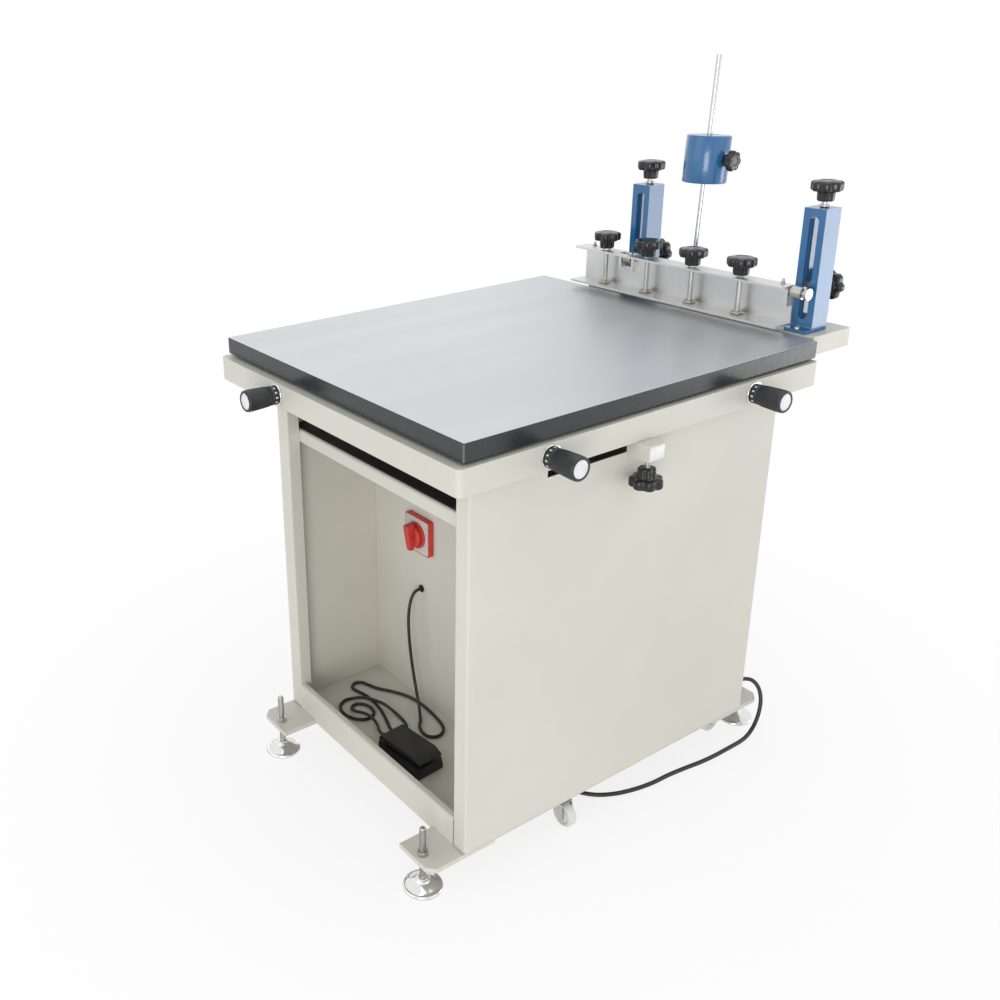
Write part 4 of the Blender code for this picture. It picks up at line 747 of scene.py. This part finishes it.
# Clamp channel
# A mill-finish aluminium channel with three welded ears that turn on the hinge pins, and a short arm behind
# that carries the balance rod. Two small screws stop its ends.
mill = surface(
    "mill_aluminium", (0.62, 0.62, 0.62), (0.74, 0.74, 0.74), 0.34, metal=0.85, patch=6, grain=420,
    bump=0.05, stretch=(0.05, 1, 1),
)
keep("clamp_channel", mill, 0.0004)
low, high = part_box("clamp_channel")
flange_top = high.z - 0.001
stop_y = low.y + 0.036
stop_radius = 0.0020
stop_pitch = 0.0008
for i, x in enumerate((high.x - 0.0187, low.x + 0.0220)):
    where = axes((x, stop_y, flange_top), (0, 0, 1))
    stud = thread(f"stop_stud_{i + 1}", where, stop_radius, 0.0, 0.0080, zinc, stop_pitch, 12)
    dress(stud, "clamp", "zinc_steel")
    dress(hex_nut(f"stop_nut_{i + 1}", where, 0.0080, 0.0001, 0.0032, zinc), "clamp", "zinc_steel")


# Clamp screws
# Four star knobs on plated M9 studs through the upper flange, each with a hex nut on the flange and a square
# yellow-passivated pad that holds the printing screen's bar against the lower flange.
brass = surface(
    "pad_passivate", (0.42, 0.39, 0.31), (0.52, 0.48, 0.39), 0.32, metal=0.9, patch=70, grain=1500, bump=0.08
)
clamp_screws = 4
clamp_radius = 0.0045
clamp_pitch = 0.0016
clamp_nut = 0.0130
pad_half = 0.008
pad_thick = 0.0036
for i in range(clamp_screws):
    node = f"clamp_screw_{i + 1}"
    rides = f"screw_{i + 1}"
    low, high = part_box(node)
    where = upright(node, high.z - knob_tall)
    dress(star_knob(node + "_star", where, plastic), rides, "black_plastic", node)
    nut = hex_nut(node + "_nut", where, clamp_nut, -0.0040, -nut_gap, zinc, turn=0.4 * i)
    dress(nut, rides, "zinc_steel")
    foot = low.z - where[0].z
    stud = thread(node + "_stud", where, clamp_radius, foot + pad_thick, 0.0010, zinc, clamp_pitch, 18)
    dress(stud, rides, "zinc_steel")
    x, y, _ = where[0]
    pad_low = (x - pad_half, y - pad_half, low.z)
    pad_high = (x + pad_half, y + pad_half, low.z + pad_thick)
    dress(block(node + "_pad", pad_low, pad_high, brass, 0.0006), rides, "zinc_steel")
    boss = [(0.0072, foot + 0.0034), (0.0072, foot + 0.0048)]
    boss += [(0.0062, foot + 0.0056), (0.0044, foot + 0.0056)]
    dress(lathe(node + "_boss", where, boss, brass, 32), rides, "zinc_steel")


# Counterweight
# A turned steel weight, enamelled blue, drilled to slide on a ground rod that leans back three degrees from
# the channel's arm. A small star knob screwed in from the right holds it.
steel = surface(
    "ground_steel", (0.50, 0.51, 0.52), (0.60, 0.61, 0.62), 0.3, metal=1.0, patch=8, grain=300, bump=0.0
)
lean = math.radians(3.0)
rod_radius = 0.0085 / 2
rod_long = 0.350
collar_radius = rod_radius + 0.0030
arm_reach = 0.038
arm_drop = 0.008
low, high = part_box("counter_rod")
seat_z = hinge.z - arm_drop + nut_gap + collar_radius * math.sin(lean)
seat = Vector(((low.x + high.x) / 2, hinge.y + arm_reach, seat_z))
where = axes(seat, (0, math.sin(lean), math.cos(lean)))
rod = [
    (collar_radius - 0.0004, 0), (collar_radius, 0.0004), (collar_radius, 0.0074),
    (collar_radius - 0.0006, 0.0080), (rod_radius, 0.0080), (rod_radius, rod_long - 0.0008),
    (rod_radius - 0.0008, rod_long),
]
dress(lathe("balance_rod", where, rod, steel, 40), "clamp", "zinc_steel", "counter_rod")
weight_radius = 0.0365
weight_tall = 0.077
bore = 0.00475
edge = 0.0022
base = 0.147
top = base + weight_tall
weight = [
    (bore, base + 0.0008), (bore + 0.0008, base), (weight_radius - edge, base),
    (weight_radius - edge * 0.3, base + edge * 0.3), (weight_radius, base + edge),
    (weight_radius, top - edge), (weight_radius - edge * 0.3, top - edge * 0.3), (weight_radius - edge, top),
    (bore + 0.0008, top), (bore, top - 0.0008),
]
rings = [ring(where, radius, level, 96) for radius, level in weight]
dress(loft("weight_body", rings, blue, closed=True, sharp=50), "weight", "blue_enamel", "counterweight")
small_knob_size = 0.034
small_knob_tall = 0.0205
low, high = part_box("counterweight_knob")
where = axes((high.x - small_knob_tall, (low.y + high.y) / 2, (low.z + high.z) / 2), (1, 0, 0))
star = star_knob("weight_knob", where, plastic, small_knob_size, small_knob_tall)
dress(star, "weight", "black_plastic", "counterweight_knob")


# Main switch
# A rotary isolator on the compartment's back panel: a square red moulding with a pale grey face plate, a
# round boss and a red handle that tapers downwards.
red = surface("switch_red", (0.56, 0.035, 0.025), (0.66, 0.055, 0.04), 0.34, patch=60, grain=1800, bump=0.06)
grey = surface("switch_face", (0.56, 0.55, 0.55), (0.66, 0.65, 0.65), 0.42, patch=70, grain=1800, bump=0.06)
moulding_deep = 0.010
face_half = 0.0300
face_hole = 0.0232
keep("switch_plate", red, 0.0006)
low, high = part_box("switch_plate")
mid_x, mid_z = (low.x + high.x) / 2, (low.z + high.z) / 2
front = high.y - moulding_deep
left, right, below, above = mid_x - face_half, mid_x + face_half, mid_z - face_half, mid_z + face_half
outer = [(point.x, point.y) for point in plate_ring(left, right, below, above, 0, 0.004, 12)]
inner = []
for x, z in outer:
    angle = math.atan2(z - mid_z, x - mid_x)
    inner.append((mid_x + face_hole * math.cos(angle), mid_z + face_hole * math.sin(angle)))
sunk, proud = front + 0.0004, front - 0.0005
rings = []
for outline, level in ((inner, sunk), (outer, sunk), (outer, proud), (inner, proud)):
    rings.append([Vector((x, level, z)) for x, z in outline])
dress(loft("switch_face_plate", rings, grey, closed=True), "stand", "red_plastic")
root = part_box("switch_handle")[1].y
where = axes((mid_x, root, mid_z), (0, -1, 0))
disc = [
    (0.0160, 0), (0.0182, 0.0002), (0.0185, 0.0008), (0.0185, 0.0046), (0.0180, 0.0058), (0.0168, 0.0066),
    (0.0120, 0.0068),
]
dress(lathe("switch_disc", where, disc, red, 56), "switch", "red_plastic", "switch_handle")
grip_half_wide = 0.0066
grip_flare = 0.0008
grip_half_tall = 0.0240
grip_root = 0.0060
grip_out = 0.0115
grip_slant = 0.0035
grip_middle = mid_z - 0.0005
rings = []
for share, inset in ((0, 0.0), (0.80, 0.0004), (0.93, 0.0010), (0.98, 0.0020), (1.0, 0.0036)):
    points = []
    for point in plate_ring(-1, 1, -1, 1, 0, 0.42, 5):
        x = mid_x + point.x * (grip_half_wide + grip_flare * point.y - inset)
        y = root - grip_root - share * (grip_out + grip_slant * point.y)
        points.append(Vector((x, y, grip_middle + point.y * (grip_half_tall - inset))))
    rings.append(points)
dress(loft("switch_grip", rings, red, sharp=60), "switch", "red_plastic")
keep("cable_grommet", plastic, 0.0003)


# Foot switch
# The treadle that starts the suction: a moulded base with two cheeks and a cable boot, and a ribbed rocker.
# It stands loose on the compartment's floor.
rubberised = surface(
    "pedal_plastic", (0.010, 0.010, 0.010), (0.022, 0.022, 0.021), 0.5, patch=50, grain=1500, bump=0.2
)
keep("pedal_base", rubberised, 0.0008)
keep("pedal_treadle", rubberised, 0.0012)


# Foot switch cable
# A soft black two-core cable, 1.20 m long: it drops from the back panel's grommet and lies in loops on the
# floor sheet up to the foot switch's boot. Its points count from the floor under the bed's front middle.
sheath = surface(
    "cable_sheath", (0.012, 0.012, 0.012), (0.024, 0.024, 0.024), 0.42, patch=60, grain=1200, bump=0.06
)
bed_low, bed_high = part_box("vacuum_bed")
zero = Vector(((bed_low.x + bed_high.x) / 2, bed_low.y, 0))
pedal_lead_thick = 0.0055


def along(route, spacing, rest):
    """Evenly spaced points on a smooth curve through a route, none of them lower than rest."""
    points = [Vector(point) for point in route]
    points = [2 * points[0] - points[1]] + points + [2 * points[-1] - points[-2]]
    fine = []
    for a, b, c, d in zip(points, points[1:], points[2:], points[3:]):
        for i in range(24):
            t = i / 24
            curve = 2 * b + (c - a) * t + (2 * a - 5 * b + 4 * c - d) * t * t
            fine.append((curve + (3 * b - a - 3 * c + d) * t * t * t) / 2)
    fine.append(points[-2])
    travel = [0.0]
    for before, after in zip(fine, fine[1:]):
        travel.append(travel[-1] + (after - before).length)
    count = round(travel[-1] / spacing)
    even = []
    at = 0
    for i in range(count + 1):
        goal = travel[-1] * i / count
        while at < len(travel) - 2 and travel[at + 1] < goal:
            at += 1
        share = (goal - travel[at]) / max(travel[at + 1] - travel[at], 1e-9)
        point = fine[at].lerp(fine[at + 1], share)
        point.z = max(point.z, rest)
        even.append(point + zero)
    return even


def cable(name, points, thick, finish):
    """A round cable along points, as one open curve."""
    curve = bpy.data.curves.new(name, "CURVE")
    curve.dimensions = "3D"
    curve.bevel_depth = thick / 2
    curve.bevel_resolution = 3
    curve.use_fill_caps = True
    spline = curve.splines.new("POLY")
    spline.points.add(len(points) - 1)
    for point, place in zip(spline.points, points):
        point.co = (*place, 1)
    spline.use_smooth = True
    curve.materials.append(finish)
    made = bpy.data.objects.new(name, curve)
    bpy.context.scene.collection.objects.link(made)
    return made


sheet_top = 0.061
low = sheet_top + pedal_lead_thick / 2 + 0.0003
over = low + 0.0067
route = [
    (-0.0525, 0.2100, 0.2817), (-0.0525, 0.1960, 0.2815), (-0.0525, 0.1870, 0.2770),
    (-0.0530, 0.1805, 0.2620), (-0.0530, 0.1765, 0.2350), (-0.0500, 0.1750, 0.2000),
    (-0.0450, 0.1755, 0.1600), (-0.0370, 0.1760, 0.1200), (-0.0270, 0.1750, 0.0890),
    (-0.0150, 0.1700, 0.0710), (0.0000, 0.1605, low), (0.0130, 0.1490, low),
    (0.0280, 0.1425, low), (0.0440, 0.1440, low), (0.0530, 0.1560, low), (0.0490, 0.1710, low),
    (0.0350, 0.1810, low), (0.0130, 0.1860, low), (-0.0100, 0.1890, low), (-0.0350, 0.1900, low),
    (-0.0660, 0.1860, low), (-0.0950, 0.1730, low), (-0.1200, 0.1570, low), (-0.1400, 0.1490, low),
    (-0.1530, 0.1440, low), (-0.1590, 0.1330, low), (-0.1530, 0.1225, low), (-0.1400, 0.1210, low),
    (-0.1180, 0.1265, low), (-0.0900, 0.1270, low), (-0.0600, 0.1215, low), (-0.0300, 0.1120, low),
    (-0.0080, 0.1045, low), (0.0060, 0.1090, low), (0.0085, 0.1220, low), (-0.0020, 0.1320, low),
    (-0.0200, 0.1365, low), (-0.0430, 0.1365, low + 0.0020), (-0.0660, 0.1320, over),
    (-0.0850, 0.1250, over + 0.0008), (-0.1030, 0.1170, over - 0.0008), (-0.1190, 0.1060, low + 0.0015),
    (-0.1250, 0.0890, low), (-0.1160, 0.0730, low),
    (-0.0970, 0.0655, low), (-0.0770, 0.0690, low), (-0.0615, 0.0800, low), (-0.0565, 0.0950, low),
    (-0.0640, 0.1080, low), (-0.0790, 0.1125, low), (-0.0950, 0.1090, low), (-0.1045, 0.0970, low),
    (-0.0990, 0.0850, low + 0.0010), (-0.0845, 0.0815, low + 0.0040), (-0.0690, 0.0875, over),
    (-0.0560, 0.0915, over + 0.0004), (-0.0420, 0.0925, over - 0.0010), (-0.0270, 0.0900, low + 0.0030),
    (-0.0140, 0.0830, low + 0.0065), (-0.00342, 0.07980, 0.0713), (0.00357, 0.08028, 0.0713),
]
pedal_lead = cable("pedal_lead", along(route, 0.004, low), pedal_lead_thick, sheath)
dress(pedal_lead, "stand", "cable_rubber", "pedal_cable")


# Power cord
# A round black mains cord, 2.77 m long. It comes out of the gland low on the rear panel, goes round the rear
# foot and in under the machine, and lies there in a coil of eight and a half turns that ends in the plug.
keep("cord_gland", plastic, 0.0004)
keep("cord_plug", plastic, 0.0006)
mains_lead_thick = 0.0070
low = mains_lead_thick / 2 + 0.0003
route = [
    (0.270, 0.6531, 0.094), (0.2715, 0.6631, 0.0935), (0.2790, 0.6760, 0.0895), (0.2905, 0.6800, 0.0790),
    (0.2990, 0.6780, 0.0610), (0.3040, 0.6700, 0.0400), (0.3065, 0.6570, 0.0200), (0.3080, 0.6390, 0.0075),
    (0.3090, 0.6180, low), (0.3090, 0.5860, low), (0.3085, 0.5530, low), (0.3060, 0.5200, low),
    (0.3010, 0.4850, low), (0.2970, 0.4500, low), (0.2950, 0.4140, low), (0.2890, 0.3790, low),
    (0.2780, 0.3450, low), (0.2610, 0.3170, low), (0.2370, 0.2990, low), (0.2080, 0.2930, low),
    (0.1790, 0.2980, low), (0.1520, 0.3120, low), (0.1280, 0.3330, low), (0.1150, 0.3600, low),
    (0.1128, 0.3950, low), (0.1128, 0.4200, low),
]
points = along(route, 0.005, low)
coil_middle = Vector((0.060, 0.420, 0)) + zero
coil_start = 0.0528
outer = 0.0455
wrap_step = mains_lead_thick + 0.0001
mid = outer - wrap_step
inner = mid - wrap_step
floor_row = low
second_row = floor_row + mains_lead_thick
top_row = second_row + mains_lead_thick
turns = [
    (outer, floor_row), (outer, second_row), (mid, second_row), (mid, floor_row), (inner, floor_row),
    (inner, second_row), (inner, top_row), (mid, top_row), (outer, top_row),
]
steps_a_turn = 60
half_turn = steps_a_turn // 2
settling_steps = 10


def eased(share):
    """A share from 0 to 1 that starts and ends softly."""
    return share * share * (3 - 2 * share)


for step in range(1, (len(turns) - 1) * steps_a_turn + half_turn + 1):
    turn, part = divmod(step / steps_a_turn, 1)
    here = turns[int(turn)]
    after = turns[min(int(turn) + 1, len(turns) - 1)]
    share = eased(max(0.0, (part - 5 / 6) * 6))
    radius = here[0] + (after[0] - here[0]) * share
    level = here[1] + (after[1] - here[1]) * share
    if step < settling_steps:
        radius += (coil_start - outer) * (1 - eased(step / settling_steps))
    angle = 2 * math.pi * step / steps_a_turn
    points.append(coil_middle + Vector((radius * math.cos(angle), radius * math.sin(angle), level)))
plug_neck = Vector((0.0155, 0.3913, 0.0133)) + zero
leave = points[-1].copy()
last_steps = 6
for step in range(1, last_steps + 1):
    point = leave.lerp(plug_neck, step / last_steps)
    point.z = leave.z + (plug_neck.z - leave.z) * eased(step / last_steps)
    points.append(point)
mains_lead = cable("mains_lead", points, mains_lead_thick, sheath)
dress(mains_lead, "stand", "cable_rubber", "power_cord", "cord_coil")
